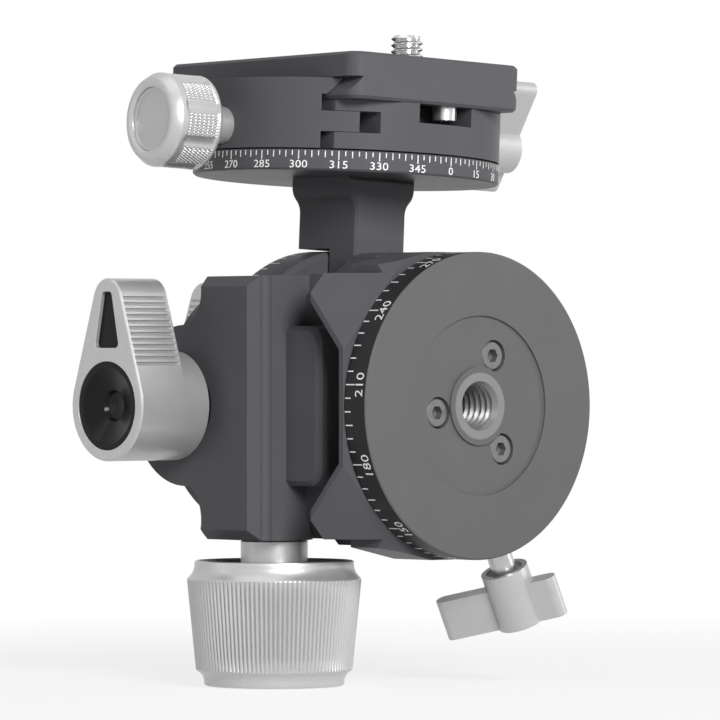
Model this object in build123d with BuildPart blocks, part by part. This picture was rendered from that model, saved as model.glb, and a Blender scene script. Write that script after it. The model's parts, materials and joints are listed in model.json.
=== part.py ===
from build123d import *
import os
from math import cos, pi, radians, sin, tan

# Geared tripod head, lying on its pan axis as it is bolted to an upright plate.
# Millimetres. The origin is the centre of the base disc's outer face, +Y runs along
# the pan and tilt axis into the head, +Z is up towards the camera platform, and the
# worm column with its lock lever is on the -X side.

# --- Pose at rest -------------------------------------------------------------------
arm_lean = 2.8              # tilt of the arm about +Y, towards +X, degrees
clamp_turn = -5.6           # turn of the clamp on its platform, degrees
base_lock_angle = 25.0      # base lock knob, from straight down towards +X, degrees
base_wing_turn = -31.0      # turn of each lock knob's long wing in its own plane
clamp_wing_turn = 122.0

# --- Base disc ----------------------------------------------------------------------
base_r = 30.0
base_t = 6.2
base_recess_r = 17.6
base_recess = 0.6
base_boss_r = 7.65
base_edge = 0.35
journal_r = 15.0
journal_end = 12.0
tripod_thread_r = 3.98      # 3/8 inch, 16 turns an inch, at its crests
bush_r = 6.5
bush_flange_r = 8.0
bush_flange_t = 1.5
base_screw_pcd_r = 10.6
base_screw_start = 293.0    # degrees, from +X towards -Z
m3_r = 1.5
m3_head_r = 2.8
m3_head = 3.0
m3_hex = 2.5
hex_depth = 1.8
well_gap = 0.3              # room round and under a sunk screw head
retainer_r = 17.5
retainer_t = 3.0
washer_in_r = 15.4
washer_out_r = 24.0
washer_front = 6.22
washer_rear = 6.60

# --- Housing ------------------------------------------------------------------------
rim_y = 6.3                 # front face of the housing
flange_x = 30.0
wing_y = 15.9               # rear edge of the flange's four wings
wing_corner = (-30.0, 6.3, 11.3)        # a point on the slanted plane of one wing
wing_normal = (-0.593, -0.600, 0.536)   # and the way that plane faces
roof_x = 18.4
roof_side_z = 27.5
roof_top_x = 7.0
roof_top_z = 30.0
roof_y = 17.2
neck_x = 21.0
neck_z = 25.8
neck_corner = 4.0
pocket_y = 7.6
pocket_mouth_z = 10.9
pocket_wide_z = 21.0
pocket_wide_y = 16.6
cheek_r = 30.2
cheek_y = 20.5
cheek_edge = 1.2
slot_front = 30.3
slot_rear = 38.9
web_r = 29.0
slot_from = -36.0           # slot opening, from straight up towards +X, degrees
slot_to = 112.0
cavity_r = 21.5
column_x = -33.0
column_inner_x = -20.0
column_front = 27.5
column_rear = 45.4
column_top = 25.4
column_low = -26.3
column_bevel = 2.0
corner_y = 31.2             # start of the column's front corner on its side face
corner_land = 1.9
corner_round = 1.5
pad_x = -26.2
pad_y = 17.8
pad_z = 15.6
pad_round = 3.6
pad_bevel = 1.0
boss_r = 15.9
lever_y = 50.0
cove_r = 8.0
cove_y = 53.0
cove_z = 22.5
barrel_r = 24.0
barrel_rear = 56.0
bore_r = 20.5
plug_r = 18.5
plug_front = 18.2
plug_rear = 30.2
retainer_room_r = 18.0
retainer_room_front = 11.9
cover_r = 26.0
cover_rear = 66.0
cover_bevel = 2.5
cover_lip = 1.0
cover_screw_pcd_r = 22.2
cover_screw_r = 1.0
cover_head_r = 2.0
cover_head = 2.0
cover_screw_end = 48.5
drum_r = 30.65
drum_bore_r = 24.05
drum_rear = 48.6
drum_bevel = 0.9

# --- Worm drive ---------------------------------------------------------------------
gear_module = 0.8
wheel_teeth = 44
worm_r = 4.4                # pitch radius
addendum = 0.62
dedendum = 0.95
backlash = 0.30
pressure_angle = 20.0
worm_turns = 7              # turns of thread along the worm
worm_y = 35.75
wheel_t = 3.4
worm_bore_r = 5.3
upper_bush_low = 13.6
upper_bush_high = 22.0
upper_journal_r = 3.0
lower_seat_r = 6.3
lower_seat_top = -19.0
lower_journal_r = 4.0
tower_r = 6.4               # walls round the worm's two bearings
lower_tower_r = 7.6
tower_start = 12.0
cap_low = 22.2

# --- Tilt shaft and arm -------------------------------------------------------------
shaft_r = 7.95
running_gap = 0.05
shaft_front = 18.6
shoulder_r = 10.0
brake_r = 16.0
brake_front = 42.5
brake_rear = 55.4
rear_bush_r = 11.0
rear_bush_front = 57.0
rear_thread_r = 4.0
rear_thread_end = 77.0
arm_front = 30.6
arm_back = 48.3
arm_half = 6.65
arm_flare_half = 8.9
arm_flare_low = 37.95
arm_flare_mid = 40.55
arm_flare_high = 43.15
arm_under = 30.85
arm_neck_rear = 38.4
arm_neck_low = 18.8
arm_plate_front = 31.0
arm_plate_r = 16.5
arm_top = 44.9
arm_edge = 0.6
arm_screw_pcd_r = 12.4
low_head = 1.8
ring_screw_x = 4.0
ring_screw_y = -8.4

# --- Camera platform ----------------------------------------------------------------
platform_y = 41.8           # pan axis of the platform
ring_r = 30.6
ring_top = 48.95
ring_bevel = 0.4
clamp_r = 30.5
clamp_bottom = 49.25
clamp_floor = 58.85
jaw_top = 63.05
jaw_face = 21.9             # inner faces of the jaws, out from the middle
lip_reach = 18.67
lip_under = 59.85
lip_step = 21.2
finger_end = 19.9
tongue_low = 52.45
tongue_high = 56.65
tongue_gap = 0.1
tongue_reach = 16.0
tongue_room = 12.3
rim_pocket_low = 55.05
rim_pocket_k = (-4.6, 8.9)
rim_pocket_d = 19.4
rim_pocket_far_d = 22.9
pivot_r = 5.95
pivot_low = 36.55
pivot_head_r = 8.5
pivot_head_low = 56.95
pivot_head_top = 58.55
pivot_hex = 6.0
guide_pin_r = 1.5
guide_pin_d = 14.0
guide_pin_z = 54.55
guide_pin_end = 24.5
plate_half = 20.7
plate_low_d = -30.2
plate_high_d = 34.5
plate_bottom = 58.9
plate_top = 68.05
plate_corner = 3.2
plate_edge = 0.6
groove_top = 63.2
groove_low = 60.15
groove_k = 18.3
pad_low = 67.25
pad_high = 68.25
grip_k = (4.6, 17.8)
grip_d = (-24.0, 27.0)
stop_k = 5.0
stop_head_r = 2.4
stop_head_low = 56.25
stop_near_d = -25.5
stop_far_d = 28.6
camera_screw_d = -19.0
camera_screw_r = 3.175      # 1/4 inch, 20 turns an inch
camera_screw_top = 72.95
camera_shank_r = 2.5
camera_shank_top = 68.3
camera_head_r = 6.2
camera_head_low = 61.45
camera_head_top = 64.25
camera_slot_end_d = 14.0
jaw_knob_z = 53.8
jaw_knob_in = 36.6
jaw_knob_out = 47.9
jaw_knob_r = 9.25
jaw_knob_neck_r = 3.7
jaw_knob_neck_in = 28.0
jaw_knob_face_r = 8.05
jaw_knob_cone = 1.6
jaw_disc_r = 6.3
jaw_disc_sink = 0.8
jaw_screw_r = 1.5
jaw_screw_in = 7.0
jaw_clip_r = 2.3

# --- Knobs and levers ---------------------------------------------------------------
knob_neck_r = 6.6
knob_neck_top = -26.5
knob_top = -30.4
knob_wide_z = -34.2
knob_narrow_z = -51.9
knob_bottom = -55.0
knob_collar_r = 15.7
knob_wide_r = 17.15
knob_narrow_r = 15.4
knob_foot_r = 13.8
knob_dish = 0.9
knob_shaft_r = 3.5
knob_shaft_end = -50.0
lever_hub_r = 10.8
lever_tip_r = 4.3
lever_tip_at = 20.6
lever_gap = 2.8
lever_collar = 5.4
lever_thick = 11.7
lever_cap_r = 8.7
lever_cap_deep = 4.0
lever_screw_r = 4.0
lever_edge = 0.5
rib_count = 12
rib_low = 8.2
rib_high = 21.0
rib_groove = 0.5
rib_depth = 0.5
window_deep = 1.2
window_round = 0.9
window_low_half = 3.7
window_high_half = 1.4
window_low = 11.3
window_high = 22.3
rear_gap = 2.2
rear_collar = 2.6
tilt_shoe_r = 5.0
lock_bush_r = 8.0
lock_bush_deep = 6.0
wing_hub_r = 4.75
base_wing_hub = 11.7
clamp_wing_hub = 9.7
wing_tall = 8.3
wing_r = 1.7
wing_long = 13.9
wing_short = 7.9
wing_fillet = 2.2
wing_stem_r = 2.5
base_lock_y = 9.3
base_knob_out = 47.4
clamp_knob_out = 40.6
shoe_r = 2.0

os.makedirs("parts", exist_ok=True)

# --- Reference planes ---------------------------------------------------------------
# A turned piece is drawn on a plane whose normal is its axis.
base_axis = Plane(origin=(0, 0, 0), x_dir=(1, 0, 0), z_dir=(0, 1, 0))
front_view = Plane.XZ       # its normal is -Y, so a height of -y stands at Y = y
side_view = Plane.YZ
wheel_r = wheel_teeth * gear_module / 2
worm_axis = Plane(origin=(-(wheel_r + worm_r), worm_y, 0), z_dir=(0, 0, 1))

lean = radians(arm_lean)
arm_x = Vector(cos(lean), 0, -sin(lean))
arm_up = Vector(sin(lean), 0, cos(lean))
row_y = Vector(0, 1, 0)
arm_front_view = Plane(origin=(0, 0, 0), x_dir=arm_x, z_dir=-row_y)
platform = Plane(origin=(0, platform_y, 0), x_dir=arm_x, z_dir=arm_up)
turn = radians(clamp_turn)
clamp_k = arm_x * cos(turn) + row_y * sin(turn)
clamp_d = row_y * cos(turn) - arm_x * sin(turn)
clamp = Plane(origin=(0, platform_y, 0), x_dir=clamp_k, z_dir=arm_up)
clamp_end_view = Plane(origin=(0, platform_y, 0), x_dir=clamp_k, z_dir=-clamp_d)
jaw_axis = Plane(origin=clamp.origin + arm_up * jaw_knob_z, x_dir=clamp_d, z_dir=-clamp_k)
clamp_lock_axis = Plane(origin=clamp.origin + arm_up * jaw_knob_z, x_dir=clamp_d, z_dir=clamp_k)
camera_axis = Plane(origin=clamp.origin + clamp_d * camera_screw_d, x_dir=clamp_k, z_dir=arm_up)
lever_axis = Plane(origin=(column_x, lever_y, 0), x_dir=(0, -1, 0), z_dir=(-1, 0, 0))
rear_axis = Plane(origin=(0, cover_rear, 0), x_dir=(-1, 0, 0), z_dir=(0, 1, 0))
lock_down = radians(base_lock_angle)
base_lock_axis = Plane(
    origin=(0, base_lock_y, 0), x_dir=(0, 1, 0), z_dir=(sin(lock_down), 0, -cos(lock_down))
)


# --- Shapes used many times ---------------------------------------------------------
def bar(plane, radius, start, end, mode=Mode.ADD):
    """A round bar along the plane's normal, from one distance to another."""
    with BuildSketch(plane.offset(start)) as end_face:
        Circle(radius)
    extrude(end_face.sketch, amount=end - start, mode=mode)


def turned(plane, outline, mode=Mode.ADD):
    """A turned solid: points of (radius, distance along the normal), spun round."""
    section = Plane(origin=plane.origin, x_dir=plane.x_dir, z_dir=-plane.y_dir)
    with BuildSketch(section) as half:
        with BuildLine():
            Polyline(*outline, close=True)
        make_face()
    revolve(half.sketch, axis=Axis(plane.origin, plane.z_dir), mode=mode)


def sleeve(plane, inner, outer, start, end):
    """A plain tube along the plane's normal."""
    turned(plane, [(inner, start), (outer, start), (outer, end), (inner, end)])


def prism(plane, outline, start, end, mode=Mode.ADD):
    """A straight prism on a closed outline, between two distances from the plane."""
    with BuildSketch(plane.offset(start)) as face:
        with BuildLine():
            Polyline(*outline, close=True)
        make_face()
    extrude(face.sketch, amount=end - start, mode=mode)


def block(low, high, mode=Mode.ADD):
    """A box between two corners of the row frame."""
    middle = tuple((a + b) / 2 for a, b in zip(low, high))
    with Locations(middle):
        Box(*[b - a for a, b in zip(low, high)], mode=mode)


def plane_box(plane, x_span, y_span, z_span, mode=Mode.ADD):
    """A box between two bounds on each of a plane's own axes."""
    corners = ((0, 0), (1, 0), (1, 1), (0, 1))
    prism(plane, [(x_span[i], y_span[j]) for i, j in corners], z_span[0], z_span[1], mode=mode)


def bars_at(plane, points, radius, start, end, mode=Mode.ADD):
    """Equal round bars at the given points of a plane."""
    with BuildSketch(plane.offset(start)) as ends:
        with Locations(*points):
            Circle(radius)
    extrude(ends.sketch, amount=end - start, mode=mode)


def sockets_at(plane, points, across_flats, start, end):
    """Hexagon sockets sunk at the given points of a plane."""
    with BuildSketch(plane.offset(start)) as hexagons:
        with Locations(*points):
            RegularPolygon(across_flats / 2, 6, major_radius=False)
    extrude(hexagons.sketch, amount=end - start, mode=Mode.SUBTRACT)


def ring_of(radius, count, start):
    """Points spread evenly on a circle, from a start angle in degrees."""
    angles = [radians(start + i * 360 / count) for i in range(count)]
    return [(radius * cos(a), radius * sin(a)) for a in angles]


# --- Base: the disc that stays on the tripod ----------------------------------------
base_screw_spots = ring_of(base_screw_pcd_r, 3, base_screw_start)
screw_seat = base_recess + m3_head + well_gap
retainer_rear = journal_end + retainer_t
bush_rear = journal_end + bush_flange_t

with BuildPart() as base_disc:
    turned(base_axis, [
        (bush_r, 0), (base_boss_r, 0), (base_boss_r, base_recess), (base_recess_r, base_recess),
        (base_recess_r, 0), (base_r - base_edge, 0), (base_r, base_edge),
        (base_r, base_t - base_edge), (base_r - base_edge, base_t), (journal_r, base_t),
        (journal_r, journal_end), (bush_r, journal_end),
    ])
    bars_at(base_axis, base_screw_spots, m3_head_r + well_gap, base_recess, screw_seat, Mode.SUBTRACT)
    bars_at(base_axis, base_screw_spots, m3_r + 0.15, 0, journal_end, Mode.SUBTRACT)
base_disc.part.label = "base_disc"
export_step(base_disc.part, "parts/base_disc.step")

with BuildPart() as thread_bush:
    turned(base_axis, [
        (tripod_thread_r, 0), (bush_r, 0), (bush_r, journal_end), (bush_flange_r, journal_end),
        (bush_flange_r, bush_rear), (tripod_thread_r, bush_rear),
    ])
thread_bush.part.label = "thread_bush"
export_step(thread_bush.part, "parts/thread_bush.step")

with BuildPart() as base_screws:
    bars_at(base_axis, base_screw_spots, m3_r, screw_seat, retainer_rear)
    bars_at(base_axis, base_screw_spots, m3_head_r, screw_seat - m3_head, screw_seat)
    chamfer(base_screws.edges().filter_by(GeomType.CIRCLE).group_by(Axis.Y)[0], length=0.3)
    sockets_at(base_axis, base_screw_spots, m3_hex, screw_seat - m3_head, screw_seat - m3_head + hex_depth)
base_screws.part.label = "base_screws"
export_step(base_screws.part, "parts/base_screws.step")

with BuildPart() as pan_retainer:
    sleeve(base_axis, bush_flange_r + 0.1, retainer_r, journal_end, retainer_rear)
    bars_at(base_axis, base_screw_spots, m3_r, journal_end, retainer_rear, Mode.SUBTRACT)
pan_retainer.part.label = "pan_retainer"
export_step(pan_retainer.part, "parts/pan_retainer.step")

with BuildPart() as pan_washer:
    sleeve(base_axis, washer_in_r, washer_out_r, washer_front, washer_rear)
pan_washer.part.label = "pan_washer"
export_step(pan_washer.part, "parts/pan_washer.step")


# --- Housing -----------------------------------------------------------------------
def mirrored(half):
    """An outline closed by turning its upper half through half a turn."""
    return half + [(-x, -z) for x, z in half]


with BuildPart() as pad:
    with BuildSketch(side_view.offset(-neck_x)) as pad_face:
        with Locations(((pad_y + column_front + 4) / 2, 0)):
            RectangleRounded(column_front + 4 - pad_y, 2 * pad_z, pad_round)
    extrude(amount=pad_x + neck_x)
    chamfer(pad.faces().sort_by(Axis.X)[0].edges(), length=pad_bevel)

with BuildPart() as housing_outside:
    # Flange and roof, with a slanted plane across each of the four corners.
    block((-flange_x, rim_y, -neck_z), (flange_x, wing_y, neck_z))
    prism(front_view, mirrored([
        (roof_x, roof_side_z), (roof_top_x, roof_top_z), (-roof_top_x, roof_top_z),
        (-roof_x, roof_side_z),
    ]), -roof_y, -rim_y)
    for side in (-1, 1):
        for end in (-1, 1):
            corner = Plane(
                origin=(-side * wing_corner[0], wing_corner[1], end * wing_corner[2]),
                z_dir=(-side * wing_normal[0], wing_normal[1], end * wing_normal[2]),
            )
            with BuildSketch(corner) as cutter:
                Rectangle(4 * flange_x, 4 * flange_x)
            extrude(cutter.sketch, amount=flange_x, mode=Mode.SUBTRACT)
    # Side pocket behind the rim, open to the column.
    far_y = column_front + 3
    far_z = neck_z + 15
    prism(side_view, [
        (pocket_y, -pocket_mouth_z), (pocket_y, pocket_mouth_z), (pocket_wide_y, pocket_wide_z),
        (pocket_wide_y, far_z), (far_y, far_z), (far_y, -far_z), (pocket_wide_y, -far_z),
        (pocket_wide_y, -pocket_wide_z),
    ], -flange_x - 4, -neck_x, Mode.SUBTRACT)
    prism(front_view, mirrored([
        (neck_x, neck_z - neck_corner), (neck_x - neck_corner, neck_z),
        (neck_corner - neck_x, neck_z), (-neck_x, neck_z - neck_corner),
    ]), -slot_front, -pocket_y)
    # Front cheek of the slot, its left shoulder and its foot cut away.
    turned(base_axis, [
        (0, cheek_y), (cheek_r - cheek_edge, cheek_y), (cheek_r, cheek_y + cheek_edge),
        (cheek_r, slot_front), (0, slot_front),
    ])
    prism(front_view, [(-11.6, neck_z), (-40, neck_z), (-40, 40), (-7.4, 40), (-7.4, 28.6)],
          -slot_front, -cheek_y, Mode.SUBTRACT)
    prism(front_view, [
        (-11.6, -neck_z), (-40, -neck_z), (-40, -40), (40, -40), (40, -roof_side_z),
        (-9.9, -roof_side_z),
    ], -slot_front, -roof_y, Mode.SUBTRACT)
    block((-40, cheek_y - 0.1, -neck_z), (-neck_x, slot_front, neck_z), Mode.SUBTRACT)
    for end in (-1, 1):
        prism(front_view, [
            (-neck_x, end * (neck_z - neck_corner)), (-neck_x, end * neck_z),
            (neck_corner - neck_x, end * neck_z),
        ], -column_front, -roof_y, Mode.SUBTRACT)
    # Web between the two sides of the slot, under and beside the wheel.
    bar(base_axis, web_r, slot_front, slot_rear)
    block((-40, slot_front, -40), (40, slot_rear, column_low), Mode.SUBTRACT)
    wedge_angles = [slot_from, 20, 70, slot_to]
    prism(front_view, [(0, 0)] + [(60 * sin(radians(a)), 60 * cos(radians(a))) for a in wedge_angles],
          -slot_rear, -slot_front, Mode.SUBTRACT)
    # Rear barrel round the tilt shaft, and the walls of the worm's two bearings.
    bar(base_axis, barrel_r, slot_rear, barrel_rear)
    bar(worm_axis, tower_r, tower_start, column_top)
    bar(worm_axis, lower_tower_r, column_low, -tower_start)
    # Worm column and lever boss.
    with BuildSketch(side_view.offset(column_x)) as column_side:
        with Locations(((column_front + column_rear) / 2, (column_top + column_low) / 2)):
            Rectangle(column_rear - column_front, column_top - column_low)
        with Locations(((column_rear + cove_y) / 2, 0)):
            Rectangle(cove_y - column_rear + 1, 2 * cove_z)
        with Locations((cove_y, cove_z), (cove_y, -cove_z)):
            Circle(cove_r, mode=Mode.SUBTRACT)
        with Locations((lever_y, 0)):
            Circle(boss_r)
    extrude(column_side.sketch, amount=column_inner_x - column_x)
    for tip, way in ((column_top, 1), (column_low, -1)):
        prism(front_view, [
            (column_x - 1, tip - way * (column_bevel + 1)), (column_x - 1, tip + way),
            (column_x + column_bevel + 1, tip + way),
        ], -column_rear - 2, -column_front + 2, Mode.SUBTRACT)
    with BuildSketch(Plane.XY.offset(column_low - 1)) as corner_cut:
        with BuildLine():
            Polyline(
                (column_x + corner_land + corner_round, column_front),
                (column_x + corner_land + corner_round, column_front - 2),
                (column_x - 2, column_front - 2), (column_x - 2, corner_y), (column_x, corner_y),
                (column_x + corner_land, corner_y - corner_land),
                (column_x + corner_land, column_front + corner_round),
            )
            RadiusArc(
                (column_x + corner_land, column_front + corner_round),
                (column_x + corner_land + corner_round, column_front), corner_round,
            )
        make_face()
    extrude(corner_cut.sketch, amount=column_top - column_low + 2, mode=Mode.SUBTRACT)
    add(pad.part)

with BuildPart() as housing:
    add(housing_outside.part)
    # Pan bearing at the front, room for the wheel, and the rear bore.
    turned(base_axis, [
        (0, rim_y - 1), (washer_out_r + 0.1, rim_y - 1), (washer_out_r + 0.1, washer_rear + 0.02),
        (journal_r + running_gap, washer_rear + 0.02), (journal_r + running_gap, retainer_room_front),
        (retainer_room_r, retainer_room_front), (retainer_room_r, plug_front), (plug_r, plug_front),
        (plug_r, slot_front), (cavity_r, slot_front), (cavity_r, slot_rear), (bore_r, slot_rear),
        (bore_r, barrel_rear + 1), (0, barrel_rear + 1),
    ], Mode.SUBTRACT)
    # Worm bore, with a wider seat below for the lower bearing.
    bar(worm_axis, worm_bore_r, column_low - 1, column_top + 1, Mode.SUBTRACT)
    bar(worm_axis, lower_seat_r, column_low - 1, lower_seat_top, Mode.SUBTRACT)
    # Bore of the lever's brake shoe and the seat of its bush.
    bar(lever_axis, tilt_shoe_r + running_gap, -18, 1, Mode.SUBTRACT)
    bar(lever_axis, lock_bush_r, -lock_bush_deep, 1, Mode.SUBTRACT)
    # Bore of the base lock screw and its shoe.
    bar(base_lock_axis, wing_stem_r + running_gap, journal_r - 0.5, 36, Mode.SUBTRACT)
    # Room for the rear cover behind the lever boss, and its tapped holes.
    bar(base_axis, cover_r + 0.1, barrel_rear, cover_rear + 1, Mode.SUBTRACT)
    bars_at(base_axis, ring_of(cover_screw_pcd_r, 4, 45), cover_screw_r, cover_screw_end, barrel_rear + 1,
            Mode.SUBTRACT)
housing.part.label = "housing"
export_step(housing.part, "parts/housing.step")

with BuildPart() as front_bearing:
    sleeve(base_axis, shaft_r + running_gap, plug_r, plug_front, plug_rear)
front_bearing.part.label = "front_bearing"
export_step(front_bearing.part, "parts/front_bearing.step")

with BuildPart() as scale_drum:
    turned(base_axis, [
        (drum_bore_r, slot_rear + 0.05), (drum_r - drum_bevel, slot_rear + 0.05),
        (drum_r, slot_rear + 0.05 + drum_bevel), (drum_r, drum_rear), (drum_bore_r, drum_rear),
    ])
    block((-40, slot_rear - 1, -40), (40, drum_rear + 1, column_low), Mode.SUBTRACT)
    block((-40, slot_rear - 1, -40), (column_inner_x + 0.1, drum_rear + 1, 40), Mode.SUBTRACT)
    bar(worm_axis, tower_r + 0.1, tower_start, column_top + 0.1, Mode.SUBTRACT)
    bar(worm_axis, lower_tower_r + 0.1, column_low - 0.1, -tower_start, Mode.SUBTRACT)
scale_drum.part.label = "scale_drum"
export_step(scale_drum.part, "parts/scale_drum.step")

cover_spots = ring_of(cover_screw_pcd_r, 4, 45)
rear_bush_rear = cover_rear - cover_lip
cover_seat = cover_rear - cover_head
with BuildPart() as rear_cover:
    turned(base_axis, [
        (rear_bush_r, barrel_rear), (cover_r - cover_bevel, barrel_rear),
        (cover_r, barrel_rear + cover_bevel),
        (cover_r, cover_rear - 0.8), (cover_r - 0.8, cover_rear), (shaft_r + 0.35, cover_rear),
        (shaft_r + 0.35, rear_bush_rear), (rear_bush_r, rear_bush_rear),
    ])
    bars_at(base_axis, cover_spots, cover_screw_r + 0.1, barrel_rear, cover_rear, Mode.SUBTRACT)
    bars_at(base_axis, cover_spots, cover_head_r + 0.1, cover_seat, cover_rear, Mode.SUBTRACT)
rear_cover.part.label = "rear_cover"
export_step(rear_cover.part, "parts/rear_cover.step")

with BuildPart() as rear_bearing:
    sleeve(base_axis, shaft_r + running_gap, rear_bush_r, rear_bush_front, rear_bush_rear)
rear_bearing.part.label = "rear_bearing"
export_step(rear_bearing.part, "parts/rear_bearing.step")

with BuildPart() as rear_cover_screws:
    bars_at(base_axis, cover_spots, cover_screw_r, cover_screw_end, cover_seat)
    bars_at(base_axis, cover_spots, cover_head_r, cover_seat, cover_rear - 0.1)
    sockets_at(base_axis, cover_spots, 1.5, cover_rear - 1.2, cover_rear)
rear_cover_screws.part.label = "rear_cover_screws"
export_step(rear_cover_screws.part, "parts/rear_cover_screws.step")

with BuildPart() as worm_bush_lower:
    sleeve(worm_axis, lower_journal_r + running_gap, lower_seat_r, column_low, lower_seat_top)
worm_bush_lower.part.label = "worm_bush_lower"
export_step(worm_bush_lower.part, "parts/worm_bush_lower.step")

with BuildPart() as worm_bush_upper:
    sleeve(worm_axis, upper_journal_r + running_gap, worm_bore_r, upper_bush_low, upper_bush_high)
worm_bush_upper.part.label = "worm_bush_upper"
export_step(worm_bush_upper.part, "parts/worm_bush_upper.step")

with BuildPart() as worm_cap:
    bar(worm_axis, worm_bore_r, cap_low, column_top)
    plane_box(worm_axis, (-3.5, 3.5), (-0.5, 0.5), (column_top - 1.0, column_top), Mode.SUBTRACT)
worm_cap.part.label = "worm_cap"
export_step(worm_cap.part, "parts/worm_cap.step")

with BuildPart() as lock_bush:
    sleeve(lever_axis, lever_screw_r + running_gap, lock_bush_r, -lock_bush_deep, 0)
lock_bush.part.label = "lock_bush"
export_step(lock_bush.part, "parts/lock_bush.step")

# --- Worm and fine knob --------------------------------------------------------------
thread_pitch = pi * gear_module
thread_half = worm_turns * thread_pitch / 2
flank = tan(radians(pressure_angle))
tooth_half = thread_pitch / 4 - backlash / 4
crest_half = tooth_half - addendum * flank
root_half = tooth_half + dedendum * flank
worm_root_r = worm_r - dedendum
worm_crest_r = worm_r + addendum
with BuildPart() as worm_shaft:
    thread_start = worm_axis.offset(-thread_half)
    with BuildLine(thread_start) as thread_path:
        Helix(thread_pitch, 2 * thread_half, worm_r)
    section = Plane(origin=thread_start.origin, x_dir=(1, 0, 0), z_dir=(0, -1, 0))
    with BuildSketch(section) as thread_section:
        with BuildLine():
            Polyline(
                (worm_root_r - 0.15, -root_half - 0.15 * flank), (worm_crest_r, -crest_half),
                (worm_crest_r, crest_half), (worm_root_r - 0.15, root_half + 0.15 * flank), close=True,
            )
        make_face()
    sweep(thread_section.sketch, path=thread_path.line, is_frenet=True)
    turned(worm_axis, [
        (0, knob_shaft_end), (knob_shaft_r, knob_shaft_end), (knob_shaft_r, knob_neck_top),
        (lower_journal_r, knob_neck_top), (lower_journal_r, lower_seat_top + 0.2),
        (worm_crest_r, lower_seat_top + 0.2), (worm_crest_r, lower_seat_top + 2.5),
        (worm_root_r, lower_seat_top + 3.5), (worm_root_r, upper_bush_low - 0.2),
        (upper_journal_r, upper_bush_low - 0.2), (upper_journal_r, upper_bush_high - 0.2),
        (0, upper_bush_high - 0.2),
    ])
    bar(worm_axis, 2.0, knob_shaft_end - 1, knob_shaft_end + 9, Mode.SUBTRACT)
worm_shaft.part.label = "worm_shaft"
export_step(worm_shaft.part, "parts/worm_shaft.step")

knob_seat = knob_bottom + 4.2
with BuildPart() as fine_knob:
    turned(worm_axis, [
        (knob_shaft_r, knob_neck_top), (knob_neck_r, knob_neck_top), (knob_neck_r, knob_top - knob_dish),
        (knob_collar_r - 1.2, knob_top - knob_dish), (knob_collar_r - 0.8, knob_top),
        (knob_collar_r - 0.3, knob_top), (knob_collar_r, knob_top - 0.4),
        (knob_collar_r, knob_top - 1.8),
        (knob_collar_r + 0.5, knob_top - 3.2), (knob_wide_r, knob_wide_z), (knob_narrow_r, knob_narrow_z),
        (knob_foot_r, knob_narrow_z - 1.3), (knob_foot_r, knob_bottom + 0.5),
        (knob_foot_r - 0.5, knob_bottom),
        (4.0, knob_bottom), (4.0, knob_seat), (2.1, knob_seat), (2.1, knob_shaft_end),
        (knob_shaft_r, knob_shaft_end),
    ])
fine_knob.part.label = "fine_knob"
export_step(fine_knob.part, "parts/fine_knob.step")

with BuildPart() as knob_screw:
    bar(worm_axis, 2.0, knob_seat, knob_shaft_end + 8)
    bar(worm_axis, 3.6, knob_seat - 3.6, knob_seat)
    sockets_at(worm_axis, [(0, 0)], 3.0, knob_seat - 3.6, knob_seat - 1.4)
knob_screw.part.label = "knob_screw"
export_step(knob_screw.part, "parts/knob_screw.step")


# --- Lock levers ---------------------------------------------------------------------
def lever_window(plane, inset=0.0):
    """The three-cornered window of a lever, as a rounded sketch on the plane."""
    low_half, high_half = window_low_half - inset, window_high_half - inset
    low, high = window_low + inset, window_high - inset
    with BuildSketch(plane) as window:
        Polygon((-low_half, low), (low_half, low), (high_half, high), (-high_half, high), align=None)
        fillet(window.vertices(), window_round)
    return window.sketch


def lever_body(plane, gap, collar, bore):
    """A teardrop lever on its round collar, ribbed on both flanks, open at the hub."""
    start = gap + collar
    end = start + lever_thick
    bar(plane, lever_hub_r - 0.05, gap, start)
    with BuildSketch(plane.offset(start)) as side:
        Circle(lever_hub_r)
        with Locations((0, lever_tip_at)):
            Circle(lever_tip_r)
        make_hull()
    extrude(side.sketch, amount=lever_thick)
    rise = (lever_hub_r - lever_tip_r) / lever_tip_at
    slope = cos(pi / 2 - rise)
    lengthways = (1 - slope ** 2) ** 0.5
    with BuildSketch(plane.offset(start + lever_edge)) as grooves:
        for side_sign in (-1, 1):
            for i in range(rib_count):
                up = rib_low + (rib_high - rib_low) * i / (rib_count - 1)
                along = (up - lever_hub_r * slope) / lengthways
                out = lever_hub_r * lengthways - along * slope
                with Locations(Location((side_sign * out, up, 0), (0, 0, side_sign * -18.0))):
                    Rectangle(2 * rib_depth, rib_groove)
    extrude(grooves.sketch, amount=lever_thick - 2 * lever_edge, mode=Mode.SUBTRACT)
    extrude(lever_window(plane.offset(end - window_deep)), amount=window_deep, mode=Mode.SUBTRACT)
    bar(plane, lever_cap_r, end - lever_cap_deep, end, Mode.SUBTRACT)
    bar(plane, bore, gap - 1, end - lever_cap_deep + 1, Mode.SUBTRACT)


def cap_body(plane, end):
    """The dished cap over a lever's hub, with a round dimple in its middle."""
    turned(plane, [
        (0, end - lever_cap_deep + 0.2), (lever_cap_r - 0.05, end - lever_cap_deep + 0.2),
        (lever_cap_r - 0.05, end - 0.2), (lever_cap_r - 1.2, end - 0.2), (3.1, end - 1.9),
        (2.6, end - 2.7), (0, end - 3.0),
    ])


def inlay_body(plane, end):
    """The dark inlay on the floor of a lever's window."""
    extrude(lever_window(plane.offset(end - window_deep), 0.05), amount=0.4)


lever_end = lever_gap + lever_collar + lever_thick
with BuildPart() as lock_lever:
    lever_body(lever_axis, lever_gap, lever_collar, lever_screw_r)
    chamfer(lock_lever.faces().sort_by(Axis.X)[0].outer_wire().edges(), length=0.3)
lock_lever.part.label = "lock_lever"
export_step(lock_lever.part, "parts/lock_lever.step")

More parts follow.
